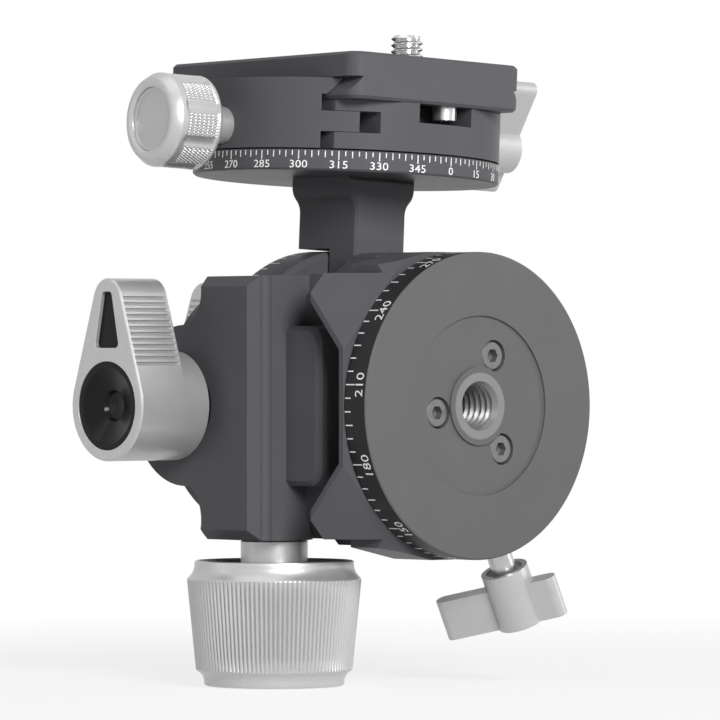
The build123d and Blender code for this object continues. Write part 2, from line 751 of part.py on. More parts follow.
with BuildPart() as lever_cap:
    cap_body(lever_axis, lever_end)
lever_cap.part.label = "lever_cap"
export_step(lever_cap.part, "parts/lever_cap.step")

with BuildPart() as lever_inlay:
    inlay_body(lever_axis, lever_end)
lever_inlay.part.label = "lever_inlay"
export_step(lever_inlay.part, "parts/lever_inlay.step")

lock_screw_in = 0.2 - lock_bush_deep
with BuildPart() as lock_screw:
    bar(lever_axis, lever_screw_r, lock_screw_in, lever_end - lever_cap_deep)
lock_screw.part.label = "lock_screw"
export_step(lock_screw.part, "parts/lock_screw.step")

with BuildPart() as tilt_shoe:
    bar(lever_axis, tilt_shoe_r, column_x + brake_r - 1, lock_screw_in - 0.5)
    bar(base_axis, brake_r + 0.1, brake_front - 2, brake_rear + 2, Mode.SUBTRACT)
tilt_shoe.part.label = "tilt_shoe"
export_step(tilt_shoe.part, "parts/tilt_shoe.step")

rear_end = rear_gap + rear_collar + lever_thick
with BuildPart() as rear_lever:
    lever_body(rear_axis, rear_gap, rear_collar, rear_thread_r + running_gap)
    chamfer(rear_lever.faces().sort_by(Axis.Y)[-1].outer_wire().edges(), length=0.3)
rear_lever.part.label = "rear_lever"
export_step(rear_lever.part, "parts/rear_lever.step")

with BuildPart() as rear_lever_cap:
    cap_body(rear_axis, rear_end)
rear_lever_cap.part.label = "rear_lever_cap"
export_step(rear_lever_cap.part, "parts/rear_lever_cap.step")

with BuildPart() as rear_lever_inlay:
    inlay_body(rear_axis, rear_end)
rear_lever_inlay.part.label = "rear_lever_inlay"
export_step(rear_lever_inlay.part, "parts/rear_lever_inlay.step")


# --- Winged lock knobs ---------------------------------------------------------------
def wing_knob(plane, out, wing_turn, hub):
    """A knob with one long and one short wing, its outer face at the distance out."""
    with BuildSketch(plane.offset(out - wing_tall)) as wings:
        Circle(wing_hub_r)
        direction = radians(wing_turn)
        middle = (wing_long - wing_short) / 2
        with Locations(Location((middle * cos(direction), middle * sin(direction), 0), (0, 0, wing_turn))):
            SlotCenterToCenter(wing_long + wing_short, 2 * wing_r)
        fillet(wings.vertices().filter_by(
            lambda v: abs((v.center() - plane.offset(out - wing_tall).origin).length - wing_hub_r) < 0.05),
            wing_fillet)
    extrude(wings.sketch, amount=wing_tall)
    bar(plane, wing_hub_r, out - hub, out)
    bar(plane, wing_hub_r - 1.0, out - hub, out - hub + 0.8, Mode.SUBTRACT)
    bar(plane, wing_stem_r, out - hub, out - 3, Mode.SUBTRACT)


with BuildPart() as base_lock_knob:
    wing_knob(base_lock_axis, base_knob_out, base_wing_turn, base_wing_hub)
base_lock_knob.part.label = "base_lock_knob"
export_step(base_lock_knob.part, "parts/base_lock_knob.step")

base_shoe_out = 18.3
with BuildPart() as base_lock_screw:
    bar(base_lock_axis, wing_stem_r, base_shoe_out + 0.5, base_knob_out - 3)
base_lock_screw.part.label = "base_lock_screw"
export_step(base_lock_screw.part, "parts/base_lock_screw.step")

with BuildPart() as base_lock_shoe:
    bar(base_lock_axis, wing_stem_r, journal_r - 0.5, base_shoe_out)
    bar(base_axis, journal_r + running_gap, 0, 20, Mode.SUBTRACT)
base_lock_shoe.part.label = "base_lock_shoe"
export_step(base_lock_shoe.part, "parts/base_lock_shoe.step")

with BuildPart() as clamp_lock_knob:
    wing_knob(clamp_lock_axis, clamp_knob_out, clamp_wing_turn, clamp_wing_hub)
clamp_lock_knob.part.label = "clamp_lock_knob"
export_step(clamp_lock_knob.part, "parts/clamp_lock_knob.step")

clamp_shoe_out = 9.0
with BuildPart() as clamp_lock_screw:
    bar(clamp_lock_axis, wing_stem_r, clamp_shoe_out + 0.5, clamp_knob_out - 3)
clamp_lock_screw.part.label = "clamp_lock_screw"
export_step(clamp_lock_screw.part, "parts/clamp_lock_screw.step")

with BuildPart() as clamp_shoe:
    bar(clamp_lock_axis, shoe_r, pivot_r - 1, clamp_shoe_out)
    bar(platform, pivot_r + 2 * running_gap, clamp_bottom, clamp_floor, Mode.SUBTRACT)
clamp_shoe.part.label = "clamp_shoe"
export_step(clamp_shoe.part, "parts/clamp_shoe.step")

# --- Tilt shaft, wheel and arm ---------------------------------------------------------
wheel_front = worm_y - wheel_t / 2
wheel_rear = worm_y + wheel_t / 2
helix_rate = gear_module / (2 * worm_r) / wheel_r       # turn of a tooth for each mm along Y


def wheel_outline(y):
    """The wheel's toothed outline where it stands at Y = y, one tooth facing -X at worm_y."""
    corners = [
        (wheel_r - dedendum, -root_half), (wheel_r + addendum, -crest_half),
        (wheel_r + addendum, crest_half), (wheel_r - dedendum, root_half),
    ]
    points = []
    for i in range(wheel_teeth):
        middle = pi + 2 * pi * i / wheel_teeth - (y - worm_y) * helix_rate
        points += [(r * cos(middle + t / r), r * sin(middle + t / r)) for r, t in corners]
    return points


wheel_spots = ring_of(arm_screw_pcd_r, 4, 45 + arm_lean)
with BuildPart() as worm_wheel:
    for y in (wheel_front, wheel_rear):
        with BuildSketch(front_view.offset(-y)):
            with BuildLine():
                Polyline(*wheel_outline(y), close=True)
            make_face()
    loft(ruled=True)
    bar(base_axis, shaft_r, wheel_front - 1, wheel_rear + 1, Mode.SUBTRACT)
    bars_at(base_axis, wheel_spots, m3_r, wheel_front - 1, wheel_rear + 1, Mode.SUBTRACT)
worm_wheel.part.label = "worm_wheel"
export_step(worm_wheel.part, "parts/worm_wheel.step")

with BuildPart() as tilt_shaft:
    turned(base_axis, [
        (0, shaft_front), (shaft_r, shaft_front), (shaft_r, wheel_rear), (shoulder_r, wheel_rear),
        (shoulder_r, brake_front), (brake_r, brake_front), (brake_r, brake_rear), (shaft_r, brake_rear),
        (shaft_r, rear_bush_rear + 0.5), (rear_thread_r, rear_bush_rear + 0.5),
        (rear_thread_r, rear_thread_end), (0, rear_thread_end),
    ])
tilt_shaft.part.label = "tilt_shaft"
export_step(tilt_shaft.part, "parts/tilt_shaft.step")

ring_spots = [(-ring_screw_x, ring_screw_y), (ring_screw_x, ring_screw_y)]
arm_seat = arm_plate_front + low_head + 0.2
flare_mid = (arm_half + arm_flare_half) / 2
flare_out = flare_mid - arm_half
flare_round = (flare_out ** 2 + (arm_flare_mid - arm_flare_low) ** 2) / (2 * flare_out)
with BuildPart() as arm_bracket:
    with BuildSketch(arm_front_view.offset(-arm_back)) as head_face:
        with BuildLine():
            Polyline((arm_half, arm_flare_low), (arm_half, arm_under), (-arm_half, arm_under),
                     (-arm_half, arm_flare_low))
            RadiusArc((-arm_half, arm_flare_low), (-flare_mid, arm_flare_mid),
                      -flare_round)
            RadiusArc((-flare_mid, arm_flare_mid), (-arm_flare_half, arm_flare_high),
                      flare_round)
            Polyline((-arm_flare_half, arm_flare_high), (-arm_flare_half, arm_top),
                     (arm_flare_half, arm_top), (arm_flare_half, arm_flare_high))
            RadiusArc((arm_flare_half, arm_flare_high), (flare_mid, arm_flare_mid),
                      flare_round)
            RadiusArc((flare_mid, arm_flare_mid), (arm_half, arm_flare_low),
                      -flare_round)
        make_face()
    extrude(head_face.sketch, amount=arm_back - arm_front)
    plane_box(arm_front_view, (-arm_half, arm_half), (arm_neck_low, arm_under + 1),
              (-arm_neck_rear, -arm_front))
    chamfer(arm_bracket.faces().sort_by(Axis.Y)[0].edges(), length=arm_edge)
    chamfer(arm_bracket.faces().sort_by(Axis.Y)[-1].edges(), length=arm_edge)
    bar(base_axis, arm_plate_r, arm_plate_front, wheel_front)
    plane_box(arm_front_view, (-arm_half, arm_half), (0, arm_neck_low + 2), (-wheel_front, -arm_plate_front))
    bar(base_axis, shaft_r, arm_plate_front - 1, wheel_front + 1, Mode.SUBTRACT)
    bars_at(base_axis, wheel_spots, m3_r + 0.1, arm_plate_front - 1, wheel_front + 1, Mode.SUBTRACT)
    bars_at(base_axis, wheel_spots, m3_head_r + 0.1, arm_plate_front - 1, arm_seat, Mode.SUBTRACT)
    bar(platform, rear_thread_r, pivot_low, arm_top + 1, Mode.SUBTRACT)
    bars_at(platform, ring_spots, m3_r, arm_top - 6, arm_top + 1, Mode.SUBTRACT)
arm_bracket.part.label = "arm_bracket"
export_step(arm_bracket.part, "parts/arm_bracket.step")

with BuildPart() as arm_screws:
    bars_at(base_axis, wheel_spots, m3_r, arm_seat, wheel_rear)
    bars_at(base_axis, wheel_spots, m3_head_r, arm_seat - low_head, arm_seat)
    sockets_at(base_axis, wheel_spots, m3_hex, arm_seat - low_head, arm_seat - 0.7)
arm_screws.part.label = "arm_screws"
export_step(arm_screws.part, "parts/arm_screws.step")

ring_seat = ring_top - m3_head - 0.2
with BuildPart() as pan_ring:
    turned(platform, [
        (pivot_r + running_gap, arm_top), (ring_r - ring_bevel, arm_top), (ring_r, arm_top + ring_bevel),
        (ring_r, ring_top - 0.2), (ring_r - 0.2, ring_top), (pivot_r + running_gap, ring_top),
    ])
    bars_at(platform, ring_spots, m3_r + 0.1, arm_top - 1, ring_top + 1, Mode.SUBTRACT)
    bars_at(platform, ring_spots, m3_head_r + 0.2, ring_seat, ring_top + 1, Mode.SUBTRACT)
pan_ring.part.label = "pan_ring"
export_step(pan_ring.part, "parts/pan_ring.step")

with BuildPart() as ring_screws:
    bars_at(platform, ring_spots, m3_r, arm_top - 5.5, ring_seat)
    bars_at(platform, ring_spots, m3_head_r, ring_seat, ring_seat + m3_head)
    sockets_at(platform, ring_spots, m3_hex, ring_seat + m3_head - hex_depth, ring_seat + m3_head)
ring_screws.part.label = "ring_screws"
export_step(ring_screws.part, "parts/ring_screws.step")

with BuildPart() as pan_pivot:
    turned(platform, [
        (0, pivot_low + 0.2), (rear_thread_r, pivot_low + 0.2), (rear_thread_r, arm_top), (pivot_r, arm_top),
        (pivot_r, pivot_head_low), (pivot_head_r, pivot_head_low), (pivot_head_r, pivot_head_top),
        (0, pivot_head_top),
    ])
    sockets_at(platform, [(0, 0)], pivot_hex, pivot_head_top - 4, pivot_head_top)
pan_pivot.part.label = "pan_pivot"
export_step(pan_pivot.part, "parts/pan_pivot.step")

# --- Clamp on the platform --------------------------------------------------------------
guide_spots = [(-guide_pin_d, guide_pin_z - jaw_knob_z), (guide_pin_d, guide_pin_z - jaw_knob_z)]
with BuildPart() as clamp_base:
    bar(clamp, clamp_r, clamp_bottom, jaw_top)
    prism(clamp_end_view, [
        (-finger_end, clamp_bottom), (clamp_r + 1, clamp_bottom), (clamp_r + 1, jaw_top),
        (lip_reach, jaw_top),
        (lip_step, lip_under), (jaw_face, lip_under), (jaw_face, clamp_floor), (-finger_end, clamp_floor),
        (-finger_end, tongue_high), (-tongue_room, tongue_high), (-tongue_room, tongue_low),
        (-finger_end, tongue_low),
    ], -clamp_r - 1, clamp_r + 1, Mode.INTERSECT)
    plane_box(clamp, rim_pocket_k, (-clamp_r - 1, -rim_pocket_d), (rim_pocket_low, jaw_top), Mode.SUBTRACT)
    plane_box(clamp, rim_pocket_k, (rim_pocket_far_d, clamp_r + 1), (rim_pocket_low, jaw_top), Mode.SUBTRACT)
    bar(platform, pivot_r + running_gap, clamp_bottom - 1, clamp_floor + 1, Mode.SUBTRACT)
    bar(platform, pivot_head_r + 0.1, pivot_head_low - 0.05, clamp_floor + 1, Mode.SUBTRACT)
    bar(jaw_axis, jaw_screw_r + running_gap, pivot_r - 1, finger_end + 1, Mode.SUBTRACT)
    bar(jaw_axis, jaw_clip_r + 0.1, tongue_room, finger_end + 1, Mode.SUBTRACT)
    turned(clamp_lock_axis, [
        (0, pivot_r - 1), (shoe_r + running_gap, pivot_r - 1), (shoe_r + running_gap, clamp_shoe_out),
        (wing_stem_r + running_gap, clamp_shoe_out), (wing_stem_r + running_gap, clamp_r + 1),
        (0, clamp_r + 1),
    ], Mode.SUBTRACT)
    bars_at(jaw_axis, guide_spots, guide_pin_r, tongue_room - 8, finger_end, Mode.SUBTRACT)
clamp_base.part.label = "clamp_base"
export_step(clamp_base.part, "parts/clamp_base.step")

with BuildPart() as clamp_washer:
    sleeve(platform, pivot_r + 0.5, clamp_r - 1.2, ring_top + 0.03, clamp_bottom - 0.03)
clamp_washer.part.label = "clamp_washer"
export_step(clamp_washer.part, "parts/clamp_washer.step")

with BuildPart() as guide_pins:
    bars_at(jaw_axis, guide_spots, guide_pin_r, tongue_room - 8, guide_pin_end)
guide_pins.part.label = "guide_pins"
export_step(guide_pins.part, "parts/guide_pins.step")

with BuildPart() as movable_jaw:
    bar(clamp, clamp_r, clamp_bottom, jaw_top)
    prism(clamp_end_view, [
        (-clamp_r - 1, clamp_bottom), (-jaw_face, clamp_bottom), (-jaw_face, tongue_low + tongue_gap),
        (-tongue_reach, tongue_low + tongue_gap), (-tongue_reach, tongue_high - tongue_gap),
        (-jaw_face, tongue_high - tongue_gap), (-jaw_face, lip_under), (-lip_step, lip_under),
        (-lip_reach, jaw_top), (-clamp_r - 1, jaw_top),
    ], -clamp_r - 1, clamp_r + 1, Mode.INTERSECT)
    bar(jaw_axis, jaw_screw_r + 0.1, tongue_reach - 1, clamp_r + 1, Mode.SUBTRACT)
    bar(jaw_axis, jaw_knob_neck_r + 0.1, jaw_knob_neck_in - 0.1, clamp_r + 1, Mode.SUBTRACT)
    bars_at(jaw_axis, guide_spots, guide_pin_r + running_gap, tongue_reach - 1, guide_pin_end + 0.5,
            Mode.SUBTRACT)
movable_jaw.part.label = "movable_jaw"
export_step(movable_jaw.part, "parts/movable_jaw.step")

jaw_knob_floor = jaw_knob_out - 2.6
with BuildPart() as jaw_knob:
    turned(jaw_axis, [
        (jaw_screw_r, jaw_knob_neck_in), (jaw_knob_neck_r, jaw_knob_neck_in), (jaw_knob_neck_r, jaw_knob_in),
        (jaw_knob_r - 0.7, jaw_knob_in), (jaw_knob_r, jaw_knob_in + 0.7),
        (jaw_knob_r, jaw_knob_out - jaw_knob_cone), (jaw_knob_face_r, jaw_knob_out),
        (jaw_disc_r, jaw_knob_out), (jaw_disc_r, jaw_knob_floor), (jaw_screw_r, jaw_knob_floor),
    ])
jaw_knob.part.label = "jaw_knob"
export_step(jaw_knob.part, "parts/jaw_knob.step")

with BuildPart() as jaw_screw:
    bar(jaw_axis, jaw_screw_r, jaw_screw_in, jaw_knob_floor)
jaw_screw.part.label = "jaw_screw"
export_step(jaw_screw.part, "parts/jaw_screw.step")

with BuildPart() as jaw_knob_disc:
    turned(jaw_axis, [
        (0, jaw_knob_floor + 0.1), (jaw_disc_r - 0.05, jaw_knob_floor + 0.1),
        (jaw_disc_r - 0.05, jaw_knob_out - jaw_disc_sink + 0.2),
        (jaw_disc_r - 0.6, jaw_knob_out - jaw_disc_sink),
        (0, jaw_knob_out - jaw_disc_sink),
    ])
jaw_knob_disc.part.label = "jaw_knob_disc"
export_step(jaw_knob_disc.part, "parts/jaw_knob_disc.step")

with BuildPart() as jaw_clip:
    sleeve(jaw_axis, jaw_screw_r, jaw_clip_r, tongue_reach - 0.8, tongue_reach - 0.1)
jaw_clip.part.label = "jaw_clip"
export_step(jaw_clip.part, "parts/jaw_clip.step")

# --- Quick-release plate ----------------------------------------------------------------
plate_mid_d = (plate_low_d + plate_high_d) / 2
stop_spots = [(stop_k, stop_near_d), (stop_k, stop_far_d)]
slot_mid_d = (camera_screw_d + camera_slot_end_d) / 2
slot_run = camera_slot_end_d - camera_screw_d


def camera_slot(half, start, end, mode):
    """The round-ended slot the camera screw runs in, of the given half width."""
    with BuildSketch(clamp.offset(start)) as slot:
        with Locations((0, slot_mid_d)):
            SlotCenterToCenter(slot_run, 2 * half, rotation=90)
    extrude(slot.sketch, amount=end - start, mode=mode)


with BuildPart() as quick_release_plate:
    with BuildSketch(clamp.offset(plate_bottom)) as plate_face:
        with Locations((0, plate_mid_d)):
            RectangleRounded(2 * plate_half, plate_high_d - plate_low_d, plate_corner)
    extrude(amount=plate_top - plate_bottom)
    chamfer(quick_release_plate.faces().sort_by(Axis(clamp.origin, arm_up))[-1].edges(), length=plate_edge)
    chamfer(quick_release_plate.faces().sort_by(Axis(clamp.origin, arm_up))[0].edges(), length=plate_edge)
    for side in (-1, 1):
        prism(clamp_end_view, [
            (side * groove_k, groove_top), (side * (plate_half + 1), groove_top),
            (side * (plate_half + 1), groove_low - 1.2), (side * plate_half, groove_low),
        ], -plate_high_d - 1, -plate_low_d + 1, Mode.SUBTRACT)
    camera_slot(camera_screw_r + 0.15, plate_bottom, plate_top, Mode.SUBTRACT)
    camera_slot(camera_head_r + 0.2, plate_bottom, camera_head_top + 0.1, Mode.SUBTRACT)
    for side in (-1, 1):
        plane_box(clamp, sorted(side * k for k in grip_k), grip_d, (pad_low, plate_top + 1), Mode.SUBTRACT)
    bars_at(clamp, stop_spots, m3_r, plate_bottom - 1, plate_bottom + 5, Mode.SUBTRACT)
quick_release_plate.part.label = "quick_release_plate"
export_step(quick_release_plate.part, "parts/quick_release_plate.step")

with BuildPart() as grip_pads:
    for side in (-1, 1):
        plane_box(clamp, sorted(side * k for k in grip_k), grip_d, (pad_low, pad_high))
grip_pads.part.label = "grip_pads"
export_step(grip_pads.part, "parts/grip_pads.step")

with BuildPart() as plate_stop_screws:
    bars_at(clamp, stop_spots, m3_r, plate_bottom, plate_bottom + 4.5)
    bars_at(clamp, stop_spots, stop_head_r, stop_head_low, plate_bottom)
    sockets_at(clamp, stop_spots, 2.0, stop_head_low, stop_head_low + 1.5)
plate_stop_screws.part.label = "plate_stop_screws"
export_step(plate_stop_screws.part, "parts/plate_stop_screws.step")

with BuildPart() as camera_screw:
    turned(camera_axis, [
        (0, camera_head_low), (camera_head_r, camera_head_low), (camera_head_r, camera_head_top),
        (camera_shank_r, camera_head_top), (camera_shank_r, camera_shank_top),
        (camera_screw_r, camera_shank_top), (camera_screw_r, camera_screw_top - 0.5),
        (camera_screw_r - 0.5, camera_screw_top), (0, camera_screw_top),
    ])
    plane_box(camera_axis, (-5.0, 5.0), (-0.9, 0.9), (camera_head_low - 1, camera_head_low + 1.6),
              Mode.SUBTRACT)
camera_screw.part.label = "camera_screw"
export_step(camera_screw.part, "parts/camera_screw.step")
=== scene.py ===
"""The looks of a geared tripod head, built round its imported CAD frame.

Every length below is in millimetres unless it says otherwise, and is scaled to
metres when a mesh is placed. Angles are in degrees.
"""

import json
import logging
import math
from dataclasses import dataclass
from enum import Enum

import bpy
from mathutils import Matrix, Vector

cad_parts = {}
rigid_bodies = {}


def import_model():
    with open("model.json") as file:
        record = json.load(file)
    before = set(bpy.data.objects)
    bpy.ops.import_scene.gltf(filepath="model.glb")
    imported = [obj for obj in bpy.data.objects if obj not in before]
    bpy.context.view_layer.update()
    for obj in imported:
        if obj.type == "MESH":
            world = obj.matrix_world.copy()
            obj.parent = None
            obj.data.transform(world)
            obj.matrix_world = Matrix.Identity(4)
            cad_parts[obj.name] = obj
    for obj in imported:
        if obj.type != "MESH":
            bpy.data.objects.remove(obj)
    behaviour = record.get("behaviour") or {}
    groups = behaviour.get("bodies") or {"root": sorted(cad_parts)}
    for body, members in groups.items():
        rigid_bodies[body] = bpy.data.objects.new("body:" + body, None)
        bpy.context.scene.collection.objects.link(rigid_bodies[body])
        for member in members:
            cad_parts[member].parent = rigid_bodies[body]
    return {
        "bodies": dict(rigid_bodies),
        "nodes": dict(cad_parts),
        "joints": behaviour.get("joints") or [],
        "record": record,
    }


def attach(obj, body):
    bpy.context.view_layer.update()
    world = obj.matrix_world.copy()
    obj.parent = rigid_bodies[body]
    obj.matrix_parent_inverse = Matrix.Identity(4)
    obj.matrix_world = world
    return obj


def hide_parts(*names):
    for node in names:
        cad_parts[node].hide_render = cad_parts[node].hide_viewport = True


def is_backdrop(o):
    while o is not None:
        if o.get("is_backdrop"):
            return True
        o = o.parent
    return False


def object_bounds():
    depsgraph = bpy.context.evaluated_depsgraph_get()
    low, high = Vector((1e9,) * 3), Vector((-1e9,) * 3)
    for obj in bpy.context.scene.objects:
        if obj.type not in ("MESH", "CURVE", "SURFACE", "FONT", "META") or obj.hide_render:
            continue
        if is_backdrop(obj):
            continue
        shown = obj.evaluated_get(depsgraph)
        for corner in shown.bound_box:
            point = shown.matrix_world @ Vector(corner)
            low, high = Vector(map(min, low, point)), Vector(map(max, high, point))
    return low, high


LOG = logging.getLogger("tripod_head")
MM = 0.001
TINY = 1e-6
EDGE_HIGHLIGHT_REACH = 1.5  # how far an edge's painted highlight reaches, against its rounding
FLUTE_RUN = 1.6  # length over which a knob's flute rises to its end
FLUTE_FADE = 0.25  # length over which a flute starts
FAR_OFF = 1000.0  # a height that nothing reaches
VEE_SLOPE, VEE_FLAT = 2.6, 0.15  # a thread's flanks, and the flat in its root
WALL_SLACK = 0.02  # how far off its wall a point still counts as on it

Profile = list[tuple[float, float]]
Colour = tuple[float, float, float]


# --- Where things are ---------------------------------------------------------------
@dataclass(frozen=True)
class Spindle:
    """The axis that a turned piece is made about: its local z runs along it."""

    origin: Vector
    across: Vector
    along: Vector

    def matrix(self) -> Matrix:
        """The turn and shift from the piece's own millimetres to the row frame's metres."""
        third = self.along.cross(self.across)
        turn = Matrix((self.across, third, self.along)).transposed().to_4x4()
        return Matrix.Scale(MM, 4) @ Matrix.Translation(self.origin) @ turn


LEAN = math.radians(2.8)
TURN = math.radians(-5.6)
ROW_X, ROW_Y, ROW_Z = Vector((1, 0, 0)), Vector((0, 1, 0)), Vector((0, 0, 1))
ARM_X = Vector((math.cos(LEAN), 0, -math.sin(LEAN)))
ARM_UP = Vector((math.sin(LEAN), 0, math.cos(LEAN)))
CLAMP_K = ARM_X * math.cos(TURN) + ROW_Y * math.sin(TURN)
CLAMP_D = ROW_Y * math.cos(TURN) - ARM_X * math.sin(TURN)
PLATFORM_FOOT = Vector((0, 41.8, 0))

BASE_SPINDLE = Spindle(Vector((0, 0, 0)), ROW_X, ROW_Y)
WORM_SPINDLE = Spindle(Vector((-22.0, 35.75, 0)), ROW_X, ROW_Z)
PLATFORM_SPINDLE = Spindle(PLATFORM_FOOT, ARM_X, ARM_UP)
CLAMP_SPINDLE = Spindle(PLATFORM_FOOT, CLAMP_K, ARM_UP)
JAW_SPINDLE = Spindle(PLATFORM_FOOT + ARM_UP * 53.8, CLAMP_D, -CLAMP_K)
CAMERA_SCREW_SPINDLE = Spindle(PLATFORM_FOOT - CLAMP_D * 19.0, CLAMP_K, ARM_UP)


# --- Finishes -----------------------------------------------------------------------
class Slot(Enum):
    """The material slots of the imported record."""

    DARK = "dark_aluminium"
    DISC = "disc_aluminium"
    PLATE = "plate_aluminium"
    SILVER = "silver_aluminium"
    STEEL = "steel"
    BRONZE = "bronze"
    PLASTIC = "black_plastic"
    RUBBER = "black_rubber"


@dataclass(frozen=True)
class Finish:
    """One surface finish, with the numbers that its shader is made from."""

    name: str
    colour: Colour
    metallic: float
    roughness: float
    specular: float = 0.5
    spread: float = 0.12  # how far the colour strays from grain to grain
    grain: float = 6.0  # grains in a millimetre
    depth: float = 0.004  # height of the grain
    edge: float = 0.35  # painted highlight: how much lighter an edge's colour is made
    rounding: float = 0.18  # radius that an edge looks broken to
    rings: float = 0.0  # depth of the turning marks, none if zero
    ring_pitch: float = 0.12
    spindle: Spindle | None = None  # what the turning marks run round
    rim_colour: Colour | None = None  # a second colour outside rim_radius
    rim_radius: float = 0.0
    rim_from: float = 0.0


DARK_FINISH = Finish("black_anodised", (0.095, 0.095, 0.103), 0.0, 0.40, 0.06)
DISC_FINISH = Finish(
    "grey_turned_face", (0.122, 0.122, 0.124), 0.0, 0.38, 0.08, spread=0.06,
    rings=0.004, spindle=BASE_SPINDLE,
    rim_colour=(0.026, 0.026, 0.028), rim_radius=29.62, rim_from=0.30,
)
PLATE_FINISH = Finish("slate_anodised", (0.100, 0.100, 0.110), 0.0, 0.38, 0.06)
SILVER_FINISH = Finish(
    "silver_blasted", (0.50, 0.50, 0.505), 0.55, 0.36, 0.4, spread=0.34, grain=7.0,
    depth=0.010, edge=0.25,
)
RIB_FINISH = Finish(
    "silver_ribbed", (0.52, 0.52, 0.525), 0.55, 0.34, 0.4, spread=0.30, grain=7.0,
    depth=0.008, edge=0.0, rounding=0.0,
)
SPUN_FINISH = Finish(
    "silver_spun_disc", (0.42, 0.42, 0.43), 0.75, 0.30, spread=0.08, edge=0.0,
    rounding=0.0, rings=0.020, ring_pitch=0.10, spindle=JAW_SPINDLE,
)
STEEL_FINISH = Finish(
    "bright_steel", (0.56, 0.56, 0.57), 0.85, 0.27, spread=0.22, grain=3.0,
)
THREAD_FINISH = Finish(
    "tapped_thread", (0.19, 0.19, 0.195), 0.35, 0.36, 0.4, spread=0.06, edge=0.0,
    rounding=0.0,
)
SCREW_FINISH = Finish(
    "rolled_thread", (0.58, 0.58, 0.59), 0.85, 0.24, spread=0.08, edge=0.0, rounding=0.0,
)
SUNK_SCREW_FINISH = Finish(
    "dull_steel", (0.15, 0.15, 0.155), 0.2, 0.34, 0.3, spread=0.3, grain=5.0, depth=0.006,
    edge=0.6,
)
BRONZE_FINISH = Finish("turned_bronze", (0.55, 0.38, 0.18), 0.8, 0.32, spread=0.1)
PLASTIC_FINISH = Finish(
    "moulded_black", (0.007, 0.007, 0.008), 0.0, 0.18, 0.14, spread=0.1, grain=2.5,
    depth=0.002, edge=0.0,
)
RUBBER_FINISH = Finish(
    "ribbed_rubber", (0.030, 0.030, 0.031), 0.0, 0.72, spread=0.2, grain=5.0, depth=0.01,
    edge=0.0, rounding=0.0,
)
MARK_FINISH = Finish(
    "white_fill", (0.86, 0.86, 0.85), 0.0, 0.55, spread=0.05, grain=4.0, depth=0.0,
    edge=0.0, rounding=0.0,
)
FINISH_OF_SLOT = {
    Slot.DARK: DARK_FINISH,
    Slot.DISC: DISC_FINISH,
    Slot.PLATE: PLATE_FINISH,
    Slot.SILVER: SILVER_FINISH,
    Slot.STEEL: STEEL_FINISH,
    Slot.BRONZE: BRONZE_FINISH,
    Slot.PLASTIC: PLASTIC_FINISH,
    Slot.RUBBER: RUBBER_FINISH,
}


class Tree:
    """A node tree under construction, with short ways to add and join its nodes."""

    def __init__(self, tree: bpy.types.NodeTree) -> None:
        """Start on a tree.

        Args:
            tree: the shader, world or geometry tree that nodes are added to.
        """
        self.tree = tree

    def add(
        self, kind: str, values: dict | None = None, **settings: object,
    ) -> bpy.types.Node:
        """Add a node, set its fields, and fill or link its inputs.

        Args:
            kind: the node's type name.
            values: input name or number to a value, or to the socket that feeds it.
            settings: the node's own fields, such as an operation.

        Returns:
            The new node.
        """
        node = self.tree.nodes.new(kind)
        for name, setting in settings.items():
            setattr(node, name, setting)
        for key, value in (values or {}).items():
            if isinstance(value, bpy.types.NodeSocket):
                self.tree.links.new(value, node.inputs[key])
            else:
                node.inputs[key].default_value = value
        return node

    def out(
        self, kind: str, values: dict | None = None, **settings: object,
    ) -> bpy.types.NodeSocket:
        """Add a node as above, for its first output."""
        return self.add(kind, values, **settings).outputs[0]

    def math(self, operation: str, *terms: object) -> bpy.types.NodeSocket:
        """Add a math node and return its result.

        Args:
            operation: what it does.
            terms: its inputs in order, numbers or sockets.

        Returns:
            The node's output.
        """
        return self.out("ShaderNodeMath", dict(enumerate(terms)), operation=operation)

    def times(self, one: object, two: object) -> bpy.types.NodeSocket:
        """One number times another."""
        return self.math("MULTIPLY", one, two)

    def over(self, one: object, two: object) -> bpy.types.NodeSocket:
        """One number divided by another."""
        return self.math("DIVIDE", one, two)

    def plus(self, one: object, two: object) -> bpy.types.NodeSocket:
        """Two numbers added."""
        return self.math("ADD", one, two)

    def minus(self, one: object, two: object) -> bpy.types.NodeSocket:
        """One number less another."""
        return self.math("SUBTRACT", one, two)

    def clamped(self, number: object) -> bpy.types.NodeSocket:
        """A number, kept between nought and one."""
        return self.out("ShaderNodeClamp", {"Value": number})

    def scaled(self, vector: object, factor: object) -> bpy.types.NodeSocket:
        """A vector or colour times a number."""
        values = {0: vector, "Scale": factor}
        return self.out("ShaderNodeVectorMath", values, operation="SCALE")

    def length(self, vector: object) -> bpy.types.NodeSocket:
        """How long a vector is."""
        node = self.add("ShaderNodeVectorMath", {0: vector}, operation="LENGTH")
        return node.outputs["Value"]

    def parts(self, vector: object) -> tuple:
        """A vector's three parts, and the vector without its z part."""
        split = self.add("ShaderNodeSeparateXYZ", {"Vector": vector}).outputs
        flat = self.out("ShaderNodeCombineXYZ", {"X": split["X"], "Y": split["Y"]})
        return split["X"], split["Y"], split["Z"], flat

    def link(self, source: bpy.types.NodeSocket, target: bpy.types.NodeSocket) -> None:
        """Join an output to an input."""
        self.tree.links.new(source, target)


